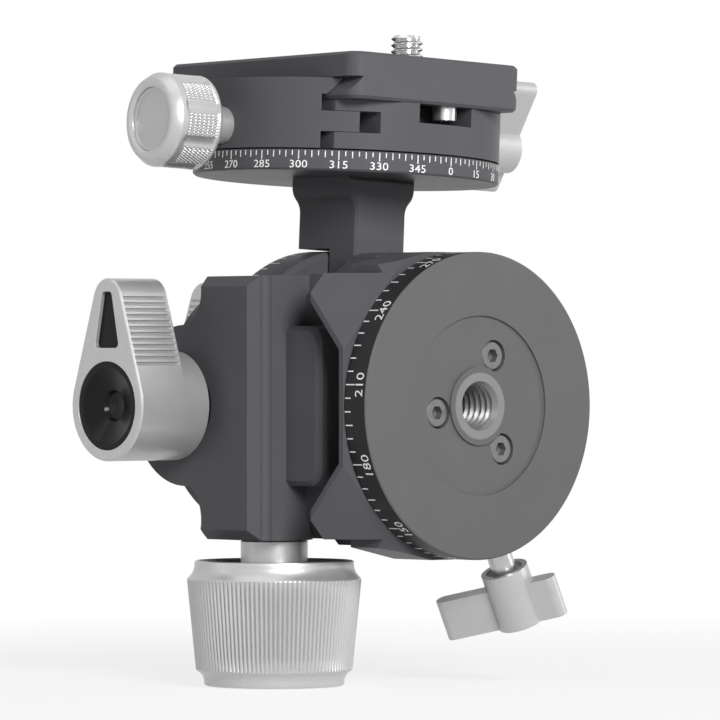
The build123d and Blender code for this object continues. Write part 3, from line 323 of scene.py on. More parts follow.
def new_group(name: str, kind: str, inputs: dict, outputs: dict) -> tuple[Tree, dict, dict]:
    """Make a node group with named sockets.

    Args:
        name: the group's name.
        kind: ShaderNodeTree or GeometryNodeTree.
        inputs: name to a number, which is the default, or to a socket type.
        outputs: name to socket type.

    Returns:
        The tree, its inner input sockets and its inner output sockets, by name.
    """
    group = bpy.data.node_groups.new(name, kind)
    for label, given in inputs.items():
        kind_of_socket = SOCKET_OF_NUMBER.get(type(given), given)
        made = group.interface.new_socket(label, in_out="INPUT", socket_type=kind_of_socket)
        if kind_of_socket != given:
            made.default_value = given
    for label, socket_type in outputs.items():
        group.interface.new_socket(label, in_out="OUTPUT", socket_type=socket_type)
    inlet = group.nodes.new("NodeGroupInput")
    outlet = group.nodes.new("NodeGroupOutput")
    return (
        Tree(group),
        {label: inlet.outputs[label] for label in inputs},
        {label: outlet.inputs[label] for label in outputs},
    )


FLOAT, VECTOR, RGBA = "NodeSocketFloat", "NodeSocketVector", "NodeSocketColor"
GEOMETRY, MATERIAL = "NodeSocketGeometry", "NodeSocketMaterial"
SOCKET_OF_NUMBER = {float: FLOAT, int: "NodeSocketInt"}


class PaintShop:
    """Builds the shared shader groups once, and each finish's material once."""

    def __init__(self) -> None:
        """Build the shared groups."""
        self.grain = self._grain_group()
        self.edges = self._edge_group()
        self.rings = self._ring_group()
        self.made: dict[str, bpy.types.Material] = {}

    def _grain_group(self) -> bpy.types.NodeTree:
        """The fine grain of blasted metal: its colour, roughness and height."""
        tree, given, out = new_group(
            "blasted_grain", "ShaderNodeTree",
            {"Colour": RGBA, "Spread": 0.1, "Grains": 6.0, "Roughness": 0.4},
            {"Colour": RGBA, "Roughness": FLOAT, "Height": FLOAT},
        )
        place = tree.add("ShaderNodeTexCoord").outputs["Object"]
        per_metre = tree.times(given["Grains"], 1 / MM)
        fine = tree.add(
            "ShaderNodeTexNoise", {"Vector": place, "Scale": per_metre, "Detail": 3.0,
                                   "Roughness": 0.65},
        ).outputs["Fac"]
        broad = tree.add(
            "ShaderNodeTexNoise", {"Vector": place, "Scale": 0.09 / MM, "Detail": 2.0},
        ).outputs["Fac"]
        stray = tree.times(tree.minus(fine, 0.5), given["Spread"])
        drift = tree.times(tree.minus(broad, 0.5), 0.10)
        gain = tree.plus(tree.plus(tree.times(stray, 2.0), drift), 1.0)
        colour = tree.scaled(given["Colour"], gain)
        tree.link(colour, out["Colour"])
        rough = tree.plus(given["Roughness"], tree.times(drift, 0.8))
        tree.link(rough, out["Roughness"])
        tree.link(fine, out["Height"])
        return tree.tree

    def _edge_group(self) -> bpy.types.NodeTree:
        """A painted highlight: a lighter colour along broken edges, where they catch the
        light.
        """
        tree, given, out = new_group(
            "painted_edge_highlights", "ShaderNodeTree",
            {"Colour": RGBA, "Amount": 0.3, "Radius": 0.0002}, {"Colour": RGBA},
        )
        soft = tree.add("ShaderNodeBevel", {"Radius": given["Radius"]}, samples=4)
        hard = tree.add("ShaderNodeNewGeometry").outputs["Normal"]
        match = tree.add(
            "ShaderNodeVectorMath", {0: soft.outputs["Normal"], 1: hard},
            operation="DOT_PRODUCT",
        ).outputs["Value"]
        # Painted highlight mask: one where the rounded normal turns away from the true one,
        # at an edge.
        turned_away = tree.minus(1.0, match)
        edge = tree.math("MINIMUM", tree.times(turned_away, 5.0), 1.0)
        gain = tree.plus(tree.times(edge, given["Amount"]), 1.0)
        colour = tree.scaled(given["Colour"], gain)
        tree.link(colour, out["Colour"])
        return tree.tree

    def _ring_group(self) -> bpy.types.NodeTree:
        """Fine turning marks round the local z axis, as a height."""
        tree, given, out = new_group(
            "turning_marks", "ShaderNodeTree",
            {"Place": VECTOR, "Pitch": 0.0001},
            {"Height": FLOAT, "Radius": FLOAT, "Along": FLOAT},
        )
        _, _, along, flat = tree.parts(given["Place"])
        radius = tree.length(flat)
        marks = tree.add(
            "ShaderNodeTexNoise", {"W": tree.over(radius, given["Pitch"]),
                                   "Scale": 1.0, "Detail": 2.0},
            noise_dimensions="1D",
        ).outputs["Fac"]
        tree.link(marks, out["Height"])
        tree.link(radius, out["Radius"])
        tree.link(along, out["Along"])
        return tree.tree

    def _group(self, tree: Tree, group: bpy.types.NodeTree, values: dict) -> bpy.types.Node:
        """Place a shared group in a material, with this material's own values."""
        return tree.add("ShaderNodeGroup", values, node_tree=group)

    def material(self, finish: Finish) -> bpy.types.Material:
        """The material of a finish, built the first time it is asked for.

        Args:
            finish: the finish to build.

        Returns:
            Its material.
        """
        if finish.name in self.made:
            return self.made[finish.name]
        material = bpy.data.materials.new(finish.name)
        material.use_nodes = True
        material.node_tree.nodes.clear()
        tree = Tree(material.node_tree)
        shader = tree.add("ShaderNodeBsdfPrincipled", {
            "Metallic": finish.metallic, "Specular IOR Level": finish.specular,
        })
        out = tree.add("ShaderNodeOutputMaterial")
        tree.link(shader.outputs["BSDF"], out.inputs["Surface"])

        colour: object = (*finish.colour, 1.0)
        height = None
        if finish.spindle is not None:
            marks = self._group(tree, self.rings, {
                "Place": self._local_place(tree, finish.spindle),
                "Pitch": finish.ring_pitch * MM,
            })
            height = marks.outputs["Height"]
            if finish.rim_colour is not None:
                radius, along = marks.outputs["Radius"], marks.outputs["Along"]
                outside = tree.math("GREATER_THAN", radius, finish.rim_radius * MM)
                behind = tree.math("GREATER_THAN", along, finish.rim_from * MM)
                colour = tree.add("ShaderNodeMix", {
                    "Factor": tree.times(outside, behind),
                    6: (*finish.colour, 1.0), 7: (*finish.rim_colour, 1.0),
                }, data_type="RGBA").outputs[2]
        grain = self._group(tree, self.grain, {
            "Colour": colour, "Spread": finish.spread, "Grains": finish.grain,
            "Roughness": finish.roughness,
        })
        tree.link(grain.outputs["Roughness"], shader.inputs["Roughness"])
        colour = grain.outputs["Colour"]
        # Painted highlight: the base colour is lightened along edges, where light would
        # catch them.
        if finish.edge:
            colour = self._group(tree, self.edges, {
                "Colour": colour, "Amount": finish.edge,
                "Radius": finish.rounding * MM * EDGE_HIGHLIGHT_REACH,
            }).outputs["Colour"]
        tree.link(colour, shader.inputs["Base Color"])

        normal = None
        if finish.rounding:
            normal = tree.add(
                "ShaderNodeBevel", {"Radius": finish.rounding * MM}, samples=4,
            ).outputs["Normal"]
        if finish.depth:
            normal = self._bump(tree, grain.outputs["Height"], finish.depth, normal)
        if finish.rings and height is not None:
            normal = self._bump(tree, height, finish.rings, normal)
        if normal is not None:
            tree.link(normal, shader.inputs["Normal"])
        self.made[finish.name] = material
        return material

    def _local_place(self, tree: Tree, spindle: Spindle) -> bpy.types.NodeSocket:
        """Object coordinates, moved and turned so that z runs along a spindle."""
        place = tree.add("ShaderNodeTexCoord").outputs["Object"]
        turned = spindle.matrix().to_3x3().normalized().to_euler()
        mapping = tree.add("ShaderNodeMapping", {
            "Vector": place, "Location": spindle.origin * MM, "Rotation": turned,
        }, vector_type="TEXTURE")
        return mapping.outputs["Vector"]

    def _bump(
        self, tree: Tree, height: bpy.types.NodeSocket, depth: float,
        normal: bpy.types.NodeSocket | None,
    ) -> bpy.types.NodeSocket:
        """The normal of a bumped surface.

        Args:
            tree: the material's tree.
            height: the height, from nought to one.
            depth: how high one stands.
            normal: the smooth normal beneath, if there is one.

        Returns:
            The bumped normal.
        """
        values: dict = {"Height": height, "Distance": depth * MM, "Strength": 1.0}
        if normal is not None:
            values["Normal"] = normal
        return tree.add("ShaderNodeBump", values).outputs["Normal"]


# --- Mesh work ----------------------------------------------------------------------
def in_steps(outline: Profile, low: float, high: float, step: float) -> Profile:
    """Divide the runs of an outline that lie between two heights into short steps.

    Args:
        outline: points of (radius, height).
        low: the lower height.
        high: the upper height.
        step: the longest step.

    Returns:
        The outline with the added points.
    """
    made = [outline[0]]
    for (r0, z0), (r1, z1) in zip(outline, outline[1:]):
        inside = min(z0, z1) >= low - TINY and max(z0, z1) <= high + TINY
        if inside and abs(z1 - z0) > step:
            count = math.ceil(abs(z1 - z0) / step)
            made += [
                (r0 + (r1 - r0) * i / count, z0 + (z1 - z0) * i / count)
                for i in range(1, count)
            ]
        made.append((r1, z1))
    return made


def turned_mesh(name: str, outline: Profile, columns: int) -> bpy.types.Mesh:
    """A closed turned solid about z.

    Args:
        name: the mesh's name.
        outline: points of (radius, height), run so that the inside is on the left. A
            first and last radius of nought close at the axis, and otherwise the outline
            closes on itself.
        columns: how many faces go round.

    Returns:
        The mesh, in millimetres.
    """
    points: list[tuple[float, float, float]] = []
    rings: list[list[int]] = []
    for radius, z in outline:
        if radius < TINY:
            points.append((0.0, 0.0, z))
            rings.append([len(points) - 1] * columns)
            continue
        start = len(points)
        for i in range(columns):
            angle = 2 * math.pi * i / columns
            points.append((radius * math.cos(angle), radius * math.sin(angle), z))
        rings.append(list(range(start, start + columns)))
    if outline[0][0] > TINY:
        rings.append(rings[0])
    faces = []
    for one, two in zip(rings, rings[1:]):
        for i in range(columns):
            j = (i + 1) % columns
            face = [one[i], one[j], two[j], two[i]]
            unique = list(dict.fromkeys(face))
            if len(unique) > 2:
                faces.append(unique)
    mesh = bpy.data.meshes.new(name)
    mesh.from_pydata(points, [], faces)
    mesh.validate()
    return mesh


def bar_mesh(
    name: str, half_x: float, half_y: float, low: float, high: float,
) -> bpy.types.Mesh:
    """A square bar, centred in x and y, between two heights."""
    corners = [
        (x, y, z) for x in (-half_x, half_x) for y in (-half_y, half_y) for z in (low, high)
    ]
    sides = [
        (0, 1, 3, 2), (4, 6, 7, 5), (0, 4, 5, 1), (2, 3, 7, 6), (0, 2, 6, 4), (1, 5, 7, 3),
    ]
    mesh = bpy.data.meshes.new(name)
    mesh.from_pydata(corners, [], sides)
    return mesh


def new_piece(name: str, mesh: bpy.types.Mesh) -> bpy.types.Object:
    """Put a mesh in the scene as a piece of its own."""
    piece = bpy.data.objects.new(name, mesh)
    bpy.context.scene.collection.objects.link(piece)
    return piece


def settle(piece: bpy.types.Object) -> None:
    """Turn what a piece's modifiers make into its own plain mesh, and remove them."""
    graph = bpy.context.evaluated_depsgraph_get()
    mesh = bpy.data.meshes.new_from_object(piece.evaluated_get(graph), depsgraph=graph)
    piece.modifiers.clear()
    piece.data = mesh


def smooth(piece: bpy.types.Object, angle: float) -> None:
    """Shade a piece smooth, apart from edges sharper than an angle in degrees."""
    mesh = piece.data
    mesh.polygons.foreach_set("use_smooth", [True] * len(mesh.polygons))
    mesh.set_sharp_from_angle(angle=math.radians(angle))
    mesh.update()


def finish_piece(
    piece: bpy.types.Object, material: bpy.types.Material, body: str,
    replaces: tuple[str, ...] = (),
) -> None:
    """Give a placed piece its material, hang it on its body and hide the CAD nodes that it
    replaces.

    Args:
        piece: the piece, with its place in its mesh.
        material: its material.
        body: the CAD body that it rides on.
        replaces: the CAD nodes that it stands for.
    """
    piece.data.materials.clear()
    piece.data.materials.append(material)
    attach(piece, body)
    if replaces:
        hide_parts(*replaces)
    LOG.info("%s rides on %s with %d faces", piece.name, body, len(piece.data.polygons))


# --- Geometry Nodes recipes ----------------------------------------------------------
class Cut(Enum):
    """What the Geometry Nodes trees make."""

    RIBS = 1
    KNURL = 2
    THREAD = 3
    TICKS = 4
    STUDS = 5


def cutter_group(name: str, numbers: dict) -> tuple[Tree, dict, dict]:
    """A Geometry Nodes tree that takes a mesh, numbers and a material."""
    inputs = {"Geometry": GEOMETRY, **numbers, "Material": MATERIAL}
    return new_group(name, "GeometryNodeTree", inputs, {"Geometry": GEOMETRY})


class Cutters:
    """The Geometry Nodes trees that cut and mark the pieces, each built once."""

    def __init__(self) -> None:
        """Build every tree."""
        self.trees = {
            Cut.RIBS: self._ribs(), Cut.KNURL: self._knurl(), Cut.THREAD: self._thread(),
            Cut.TICKS: self._ticks(), Cut.STUDS: self._studs(),
        }

    def run(self, cut: Cut, piece: bpy.types.Object, **values: object) -> None:
        """Run a tree on a piece and keep its result as a plain mesh.

        Args:
            cut: which tree.
            piece: the object that it works on.
            values: the tree's named inputs, with spaces written as underscores.
        """
        group = self.trees[cut]
        modifier = piece.modifiers.new(group.name, "NODES")
        modifier.node_group = group
        wanted = {name.replace("_", " "): value for name, value in values.items()}
        for item in group.interface.items_tree:
            if item.in_out == "INPUT" and item.name in wanted:
                modifier[item.identifier] = wanted.pop(item.name)
        if wanted:
            raise KeyError(f"{group.name} has no input named {sorted(wanted)}")
        settle(piece)

    def _polar(self, tree: Tree) -> tuple:
        """The angle, height and outward direction of each point, about local z."""
        x, y, z, flat = tree.parts(tree.out("GeometryNodeInputPosition"))
        outward = tree.out("ShaderNodeVectorMath", {0: flat}, operation="NORMALIZE")
        return tree.math("ARCTAN2", y, x), z, outward

    def _window(
        self, tree: Tree, z: object, low: object, high: object, fade: object,
    ) -> bpy.types.NodeSocket:
        """One between two heights, falling to nought over the fade at each end."""
        up = tree.clamped(tree.over(tree.minus(z, low), fade))
        down = tree.clamped(tree.over(tree.minus(high, z), fade))
        return tree.times(up, down)

    def _push(
        self, tree: Tree, given: dict, out: dict, outward: object, amount: object,
    ) -> None:
        """Move the points outwards by an amount, and set the material."""
        shift = tree.scaled(outward, amount)
        values = {"Geometry": given["Geometry"], "Offset": shift}
        self._close(tree, given, out, tree.out("GeometryNodeSetPosition", values))

    def _close(self, tree: Tree, given: dict, out: dict, made: object) -> None:
        """End a tree in Realize Instances and Set Material."""
        real = tree.out("GeometryNodeRealizeInstances", {"Geometry": made})
        dressed = tree.out(
            "GeometryNodeSetMaterial", {"Geometry": real, "Material": given["Material"]},
        )
        tree.link(dressed, out["Geometry"])

    def _ribs(self) -> bpy.types.NodeTree:
        """Round-topped ribs along a turned blank."""
        tree, given, out = cutter_group("cut_ribs", {
            "Count": 100, "Depth": 0.3, "Low": 0.0, "High": 1.0, "Fade": 0.5,
        })
        angle, z, outward = self._polar(tree)
        wave = tree.math("SINE", tree.times(angle, tree.times(given["Count"], 0.5)))
        groove = tree.minus(tree.math("ABSOLUTE", wave), 1.0)
        inside = self._window(tree, z, given["Low"], given["High"], given["Fade"])
        amount = tree.times(tree.times(groove, given["Depth"]), inside)
        self._push(tree, given, out, outward, amount)
        return tree.tree

    def _thread(self) -> bpy.types.NodeTree:
        """A vee thread cut inwards, or outwards where the depth is below nought."""
        tree, given, out = cutter_group("cut_thread", {
            "Pitch": 1.27, "Depth": 0.6, "Low": 0.0, "High": 1.0, "Fade": 0.5, "Wall": 3.0,
        })
        angle, z, outward = self._polar(tree)
        turns = tree.minus(tree.over(z, given["Pitch"]), tree.over(angle, 2 * math.pi))
        vee = tree.times(tree.math("PINGPONG", turns, 0.5), VEE_SLOPE)
        flat = tree.clamped(tree.minus(vee, VEE_FLAT))
        inside = self._window(tree, z, given["Low"], given["High"], given["Fade"])
        x, y, _, _ = tree.parts(tree.out("GeometryNodeInputPosition"))
        squares = [tree.math("POWER", part, 2.0) for part in (x, y)]
        radius = tree.math("POWER", tree.plus(*squares), 0.5)
        on_wall = tree.math("COMPARE", radius, given["Wall"], WALL_SLACK)
        cut = tree.times(tree.minus(flat, 1.0), given["Depth"])
        amount = tree.times(tree.times(cut, inside), on_wall)
        self._push(tree, given, out, outward, amount)
        return tree.tree

    def _knurl(self) -> bpy.types.NodeTree:
        """A diamond knurl between smooth flutes."""
        tree, given, out = cutter_group("cut_knurl", {
            "Count": 96, "Lead": 1.0, "Depth": 0.25, "Low": 0.0, "High": 1.0, "Fade": 0.3,
            "Flutes": 8, "Flute Angle": 0.0, "Flute Half": 0.16, "Flute Depth": 0.6,
            "Flute End": 1.0,
        })
        angle, z, outward = self._polar(tree)
        around = tree.times(angle, tree.over(given["Count"], 2 * math.pi))
        along = tree.over(z, given["Lead"])
        one = tree.math("PINGPONG", tree.plus(around, along), 0.5)
        two = tree.math("PINGPONG", tree.minus(around, along), 0.5)
        peak = tree.times(tree.math("MINIMUM", one, two), 2.0)
        inside = self._window(tree, z, given["Low"], given["High"], given["Fade"])
        cut = tree.times(tree.minus(peak, 1.0), given["Depth"])
        rough = tree.times(cut, inside)
        gap = tree.over(2 * math.pi, given["Flutes"])
        half_gap = tree.times(gap, 0.5)
        shifted = tree.plus(tree.minus(angle, given["Flute Angle"]), half_gap)
        offset = tree.minus(tree.math("FLOORED_MODULO", shifted, gap), half_gap)
        share = tree.over(offset, given["Flute Half"])
        bowl = tree.minus(1.0, tree.times(share, share))
        run = tree.clamped(tree.over(tree.minus(given["Flute End"], z), FLUTE_RUN))
        left = tree.minus(1.0, run)
        scoop = tree.minus(1.0, tree.math("POWER", left, 2.0))
        behind = self._window(tree, z, given["Low"], FAR_OFF, FLUTE_FADE)
        deep = tree.minus(tree.times(bowl, scoop), tree.minus(1.0, scoop))
        hollow = tree.times(tree.math("MAXIMUM", deep, 0.0), behind)
        inwards = tree.times(given["Flute Depth"], -1.0)
        flute = tree.times(hollow, inwards)
        self._push(tree, given, out, outward, tree.math("MINIMUM", rough, flute))
        return tree.tree

    def _ticks(self) -> bpy.types.NodeTree:
        """A row of scale marks round a drum, in three lengths."""
        tree, given, out = cutter_group("ring_of_ticks", {
            "Count": 72, "First": 0.0, "Step": 0.1, "Radius": 30.0, "Edge": 0.0, "Way": 1.0,
            "Short": 1.0, "Middle": 1.5, "Long": 2.0, "Middle Every": 3, "Long Every": 6,
            "Width": 0.2, "Proud": 0.06,
        })
        index = tree.out("GeometryNodeInputIndex")
        angle = tree.plus(given["First"], tree.times(index, given["Step"]))
        at_long, at_middle = (
            tree.math("LESS_THAN", tree.math("MODULO", index, given[every]), 0.5)
            for every in ("Long Every", "Middle Every")
        )
        plain = tree.out("ShaderNodeMix", {
            "Factor": at_middle, "A": given["Short"], "B": given["Middle"]})
        length = tree.out("ShaderNodeMix", {
            "Factor": at_long, "A": plain, "B": given["Long"]})
        middle = tree.plus(given["Edge"], tree.times(tree.times(length, 0.5), given["Way"]))
        place = tree.out("ShaderNodeCombineXYZ", {
            "X": tree.times(tree.math("COSINE", angle), given["Radius"]),
            "Y": tree.times(tree.math("SINE", angle), given["Radius"]), "Z": middle,
        })
        points = tree.out(
            "GeometryNodePoints", {"Count": given["Count"], "Position": place})
        turn = tree.out("FunctionNodeEulerToRotation", {
            0: tree.out("ShaderNodeCombineXYZ", {"Z": angle})})
        size = tree.out("ShaderNodeCombineXYZ", {
            "X": given["Proud"], "Y": given["Width"], "Z": length})
        bar = tree.out("GeometryNodeMeshCube", {"Size": (1.0, 1.0, 1.0)})
        placed = tree.out("GeometryNodeInstanceOnPoints", {
            "Points": points, "Instance": bar, "Rotation": turn, "Scale": size,
        })
        self._close(tree, given, out, placed)
        return tree.tree

    def _studs(self) -> bpy.types.NodeTree:
        """Rows of small four-sided studs standing on a flat pad."""
        tree, given, out = cutter_group("pad_studs", {
            "Long": 50.0, "Wide": 12.0, "Rows": 34, "Columns": 9, "Top": 69.0, "Foot": 0.6,
            "Crest": 0.3, "Rise": 0.4,
        })
        grid = tree.out("GeometryNodeMeshGrid", {
            "Size X": given["Wide"], "Size Y": given["Long"],
            "Vertices X": given["Columns"], "Vertices Y": given["Rows"],
        })
        stud = tree.out("GeometryNodeMeshCone", {
            "Vertices": 4, "Radius Top": given["Crest"], "Radius Bottom": given["Foot"],
            "Depth": given["Rise"],
        })
        quarter = tree.out("FunctionNodeEulerToRotation", {0: (0.0, 0.0, math.pi / 4)})
        placed = tree.out("GeometryNodeInstanceOnPoints", {
            "Points": grid, "Instance": stud, "Rotation": quarter,
        })
        raised = tree.out("GeometryNodeTransform", {
            "Geometry": placed,
            "Translation": tree.out("ShaderNodeCombineXYZ", {"Z": given["Top"]}),
        })
        both = tree.add("GeometryNodeJoinGeometry")
        tree.link(given["Geometry"], both.inputs[0])
        tree.link(raised, both.inputs[0])
        self._close(tree, given, out, both.outputs[0])
        return tree.tree


# --- Scales -------------------------------------------------------------------------
@dataclass(frozen=True)
class Scale:
    """A degree scale round a drum: its marks and, where it has them, its numbers."""

    name: str
    body: str
    spindle: Spindle
    radius: float
    edge: float  # height of the edge that the marks start from
    way: float  # which way they run from it
    zero: float  # angle of the mark that reads nought
    step: float
    lengths: tuple[float, float, float]
    middle_every: int
    long_every: int
    width: float
    count: int
    numbers: tuple[int, ...] = ()
    number_low: float = 0.0
    number_height: float = 0.0
    number_width: float = 0.0  # of three figures


RIM_SCALE = Scale(
    "base_scale", "base", BASE_SPINDLE, 30.0, 5.9, -1.0, -21.9, 5.0, (1.6, 2.0, 2.5), 3, 6,
    0.24, 72, numbers=tuple(range(0, 360, 30)), number_low=1.02, number_height=2.1,
    number_width=4.7,
)
PLATFORM_SCALE = Scale(
    "platform_scale", "tilt", PLATFORM_SPINDLE, 30.6, 48.7, -1.0, -89.4, 2.5,
    (0.93, 1.3, 1.7), 2, 6, 0.20, 144, numbers=tuple(range(0, 360, 15)), number_low=45.3,
    number_height=1.5, number_width=3.7,
)
DRUM_SCALE = Scale(
    "drum_scale", "housing", BASE_SPINDLE, 30.65, 48.6, -1.0, 232.0, 5.0, (2.0, 2.0, 3.0),
    3, 3, 0.24, 38,
)


class ScaleMaker:
    """Marks and numbers for the head's degree scales."""

    skin = 0.02  # how far the fill stands proud of the metal
    sunk = 0.05  # how far it goes in

    def __init__(self, cutters: Cutters, paint: PaintShop) -> None:
        """Keep the tools that the marks are made with."""
        self.cutters = cutters
        self.paint = paint

    def build(self, scale: Scale) -> None:
        """Make one scale's marks, and its numbers if it has them."""
        material = self.paint.material(MARK_FINISH)
        marks = new_piece(f"{scale.name}_marks", bpy.data.meshes.new(scale.name))
        self.cutters.run(
            Cut.TICKS, marks, Count=scale.count, First=math.radians(scale.zero),
            Step=math.radians(scale.step),
            Radius=scale.radius + (self.skin - self.sunk) / 2,
            Edge=scale.edge, Way=scale.way, Short=scale.lengths[0], Middle=scale.lengths[1],
            Long=scale.lengths[2], Middle_Every=scale.middle_every,
            Long_Every=scale.long_every, Width=scale.width, Proud=self.skin + self.sunk,
            Material=material,
        )
        marks.data.transform(scale.spindle.matrix())
        finish_piece(marks, material, scale.body)
        if scale.numbers:
            self._numbers(scale, material)

    def _numbers(self, scale: Scale, material: bpy.types.Material) -> None:
        """Wrap every number of a scale round its drum, as one piece."""
        low, high = self._extent(self._text("000"))
        across = scale.number_width / (high.x - low.x)
        up = scale.number_height / (high.y - low.y)
        points: list[tuple[float, float, float]] = []
        faces: list[list[int]] = []
        for number in scale.numbers:
            mesh = self._text(str(number))
            left, right = self._extent(mesh)
            middle = (left.x + right.x) / 2
            start = len(points)
            facing = math.radians(scale.zero + number)
            for vertex in mesh.vertices:
                angle = facing + (vertex.co.x - middle) * across / scale.radius
                radius = scale.radius + (self.skin if vertex.co.z > 0 else -self.sunk)
                height = scale.number_low + (vertex.co.y - low.y) * up
                points.append((radius * math.cos(angle), radius * math.sin(angle), height))
            faces += [[start + i for i in face.vertices] for face in mesh.polygons]
            bpy.data.meshes.remove(mesh)
        mesh = bpy.data.meshes.new(f"{scale.name}_numbers")
        mesh.from_pydata(points, [], faces)
        mesh.validate()
        mesh.transform(scale.spindle.matrix())
        finish_piece(new_piece(f"{scale.name}_numbers", mesh), material, scale.body)

    def _extent(self, mesh: bpy.types.Mesh) -> tuple[Vector, Vector]:
        """The lowest and highest corner of a mesh."""
        corners = [vertex.co for vertex in mesh.vertices]
        return (
            Vector([min(c[i] for c in corners) for i in range(3)]),
            Vector([max(c[i] for c in corners) for i in range(3)]),
        )

    def _text(self, words: str) -> bpy.types.Mesh:
        """Figures as a thin solid mesh, a unit high, lying in the xy plane."""
        line = bpy.data.curves.new("figures", "FONT")
        line.body = words
        line.extrude = 0.01
        line.resolution_u = 3
        line.space_character = 1.04
        holder = new_piece("figures", line)
        graph = bpy.context.evaluated_depsgraph_get()
        mesh = bpy.data.meshes.new_from_object(holder.evaluated_get(graph), depsgraph=graph)
        bpy.data.objects.remove(holder)
        bpy.data.curves.remove(line)
        return mesh


# --- Turned pieces ------------------------------------------------------------------
@dataclass(frozen=True)
class TurnedPart:
    """A turned blank, the tree that cuts it, and the CAD node that it stands for."""

    name: str
    node: str
    body: str
    slot: Slot
    finish: Finish
    spindle: Spindle
    outline: Profile
    columns: int
    wall: tuple[float, float, float]  # ends of the wall that is cut, and its longest step
    cut: Cut
    values: dict[str, float]
    crease: float = 32.0  # edges sharper than this stay sharp
    driving_slot: tuple[float, float, float, float] | None = None  # half sizes and ends


FINE_KNOB_RIBS, FACES_PER_RIB = 112, 8
FINE_KNOB = TurnedPart(
    "fine_knob_ribbed", "fine_knob", "worm", Slot.SILVER, RIB_FINISH, WORM_SPINDLE, [
        (2.1, -50.0), (2.1, -50.8), (4.0, -50.8), (4.0, -54.8), (4.2, -55.0),
        (13.25, -55.0), (13.65, -54.85), (13.8, -54.5), (13.8, -53.8), (14.0, -53.2),
        (14.4, -52.6),
        (14.9, -52.2), (15.28, -51.95), (15.4, -51.75), (17.15, -34.25), (17.15, -34.1),
        (17.02, -33.85), (16.65, -33.5), (16.2, -32.95), (15.92, -32.4), (15.75, -31.9),
        (15.7, -31.5), (15.7, -30.8), (15.6, -30.55), (15.35, -30.4), (15.1, -30.4),
        (14.9, -30.55), (14.5, -31.2), (14.2, -31.3), (6.9, -31.3), (6.6, -31.0),
        (6.6, -26.7), (6.4, -26.5), (3.5, -26.5), (3.5, -50.0),
    ], FINE_KNOB_RIBS * FACES_PER_RIB, (-51.8, -34.2, 1.4), Cut.RIBS, {
        "Count": FINE_KNOB_RIBS, "Depth": 0.46, "Low": -51.8, "High": -34.15, "Fade": 0.45,
    },
)
JAW_KNOB = TurnedPart(
    "jaw_knob_knurled", "jaw_knob", "clamp_knob", Slot.SILVER, RIB_FINISH, JAW_SPINDLE, [
        (1.5, 28.0), (3.5, 28.0), (3.7, 28.2), (3.7, 36.3), (4.0, 36.6), (8.6, 36.6),
        (9.0, 36.75), (9.25, 37.1), (9.25, 46.0), (9.18, 46.25), (8.15, 47.78),
        (7.95, 47.9), (6.55, 47.9), (6.3, 47.7), (6.3, 45.3), (1.5, 45.3),
    ], 480, (37.0, 46.1, 0.175), Cut.KNURL, {
        "Count": 96, "Lead": 1.05, "Depth": 0.34, "Low": 37.5, "High": 44.8, "Fade": 0.25,
        "Flutes": 8, "Flute_Angle": math.radians(196.0), "Flute_Half": math.radians(10.0),
        "Flute_Depth": 0.62, "Flute_End": 45.8,
    }, crease=40.0,
)
TRIPOD_THREAD = TurnedPart(
    "tripod_thread", "thread_bush", "base", Slot.DISC, THREAD_FINISH, BASE_SPINDLE, [
        (4.85, 0.0), (6.5, 0.0), (6.5, 12.0), (8.0, 12.0), (8.0, 13.5), (4.7, 13.5),
        (3.98, 12.9), (3.98, 0.95),
    ], 72, (0.95, 12.9, 0.11), Cut.THREAD, {
        "Pitch": 1.5875, "Depth": -0.78, "Low": 0.8, "High": 13.0, "Fade": 0.5,
        "Wall": 3.98,
    }, crease=25.0,
)
CAMERA_SCREW = TurnedPart(
    "camera_screw_cut", "camera_screw", "camera_stud", Slot.STEEL, SCREW_FINISH,
    CAMERA_SCREW_SPINDLE, [
        (0.0, 61.45), (5.9, 61.45), (6.2, 61.75), (6.2, 63.95), (5.9, 64.25), (2.5, 64.25),
        (2.5, 68.3), (3.175, 68.3), (3.175, 72.35), (2.6, 72.95), (0.0, 72.95),
    ], 64, (68.3, 72.35, 0.09), Cut.THREAD, {
        "Pitch": 1.27, "Depth": 0.66, "Low": 67.9, "High": 73.05, "Fade": 0.4,
        "Wall": 3.175,
    }, crease=25.0, driving_slot=(5.0, 0.9, 60.45, 63.05),
)


@dataclass
class Turner:
    """Makes the knobs and the threaded pieces."""

    cutters: Cutters
    paint: PaintShop

    def build(self, part: TurnedPart) -> None:
        """Turn a part's blank, cut it and place it."""
        outline = in_steps(part.outline + part.outline[:1], *part.wall)[:-1]
        piece = new_piece(part.name, turned_mesh(part.name, outline, part.columns))
        material = self.paint.material(part.finish)
        self.cutters.run(part.cut, piece, Material=material, **part.values)
        if part.driving_slot is not None:
            self._cut_slot(piece, part.driving_slot)
        piece.data.transform(part.spindle.matrix())
        smooth(piece, part.crease)
        finish_piece(piece, material, part.body, (part.node,))

    def _cut_slot(self, piece: bpy.types.Object, box: tuple[float, ...]) -> None:
        """Cut a driving slot across a screw's head with a bar of half sizes and ends."""
        cutter = new_piece("slot_bar", bar_mesh("slot_bar", *box))
        cut = piece.modifiers.new("slot", "BOOLEAN")
        cut.object, cut.operation, cut.solver = cutter, "DIFFERENCE", "EXACT"
        settle(piece)
        bpy.data.objects.remove(cutter)


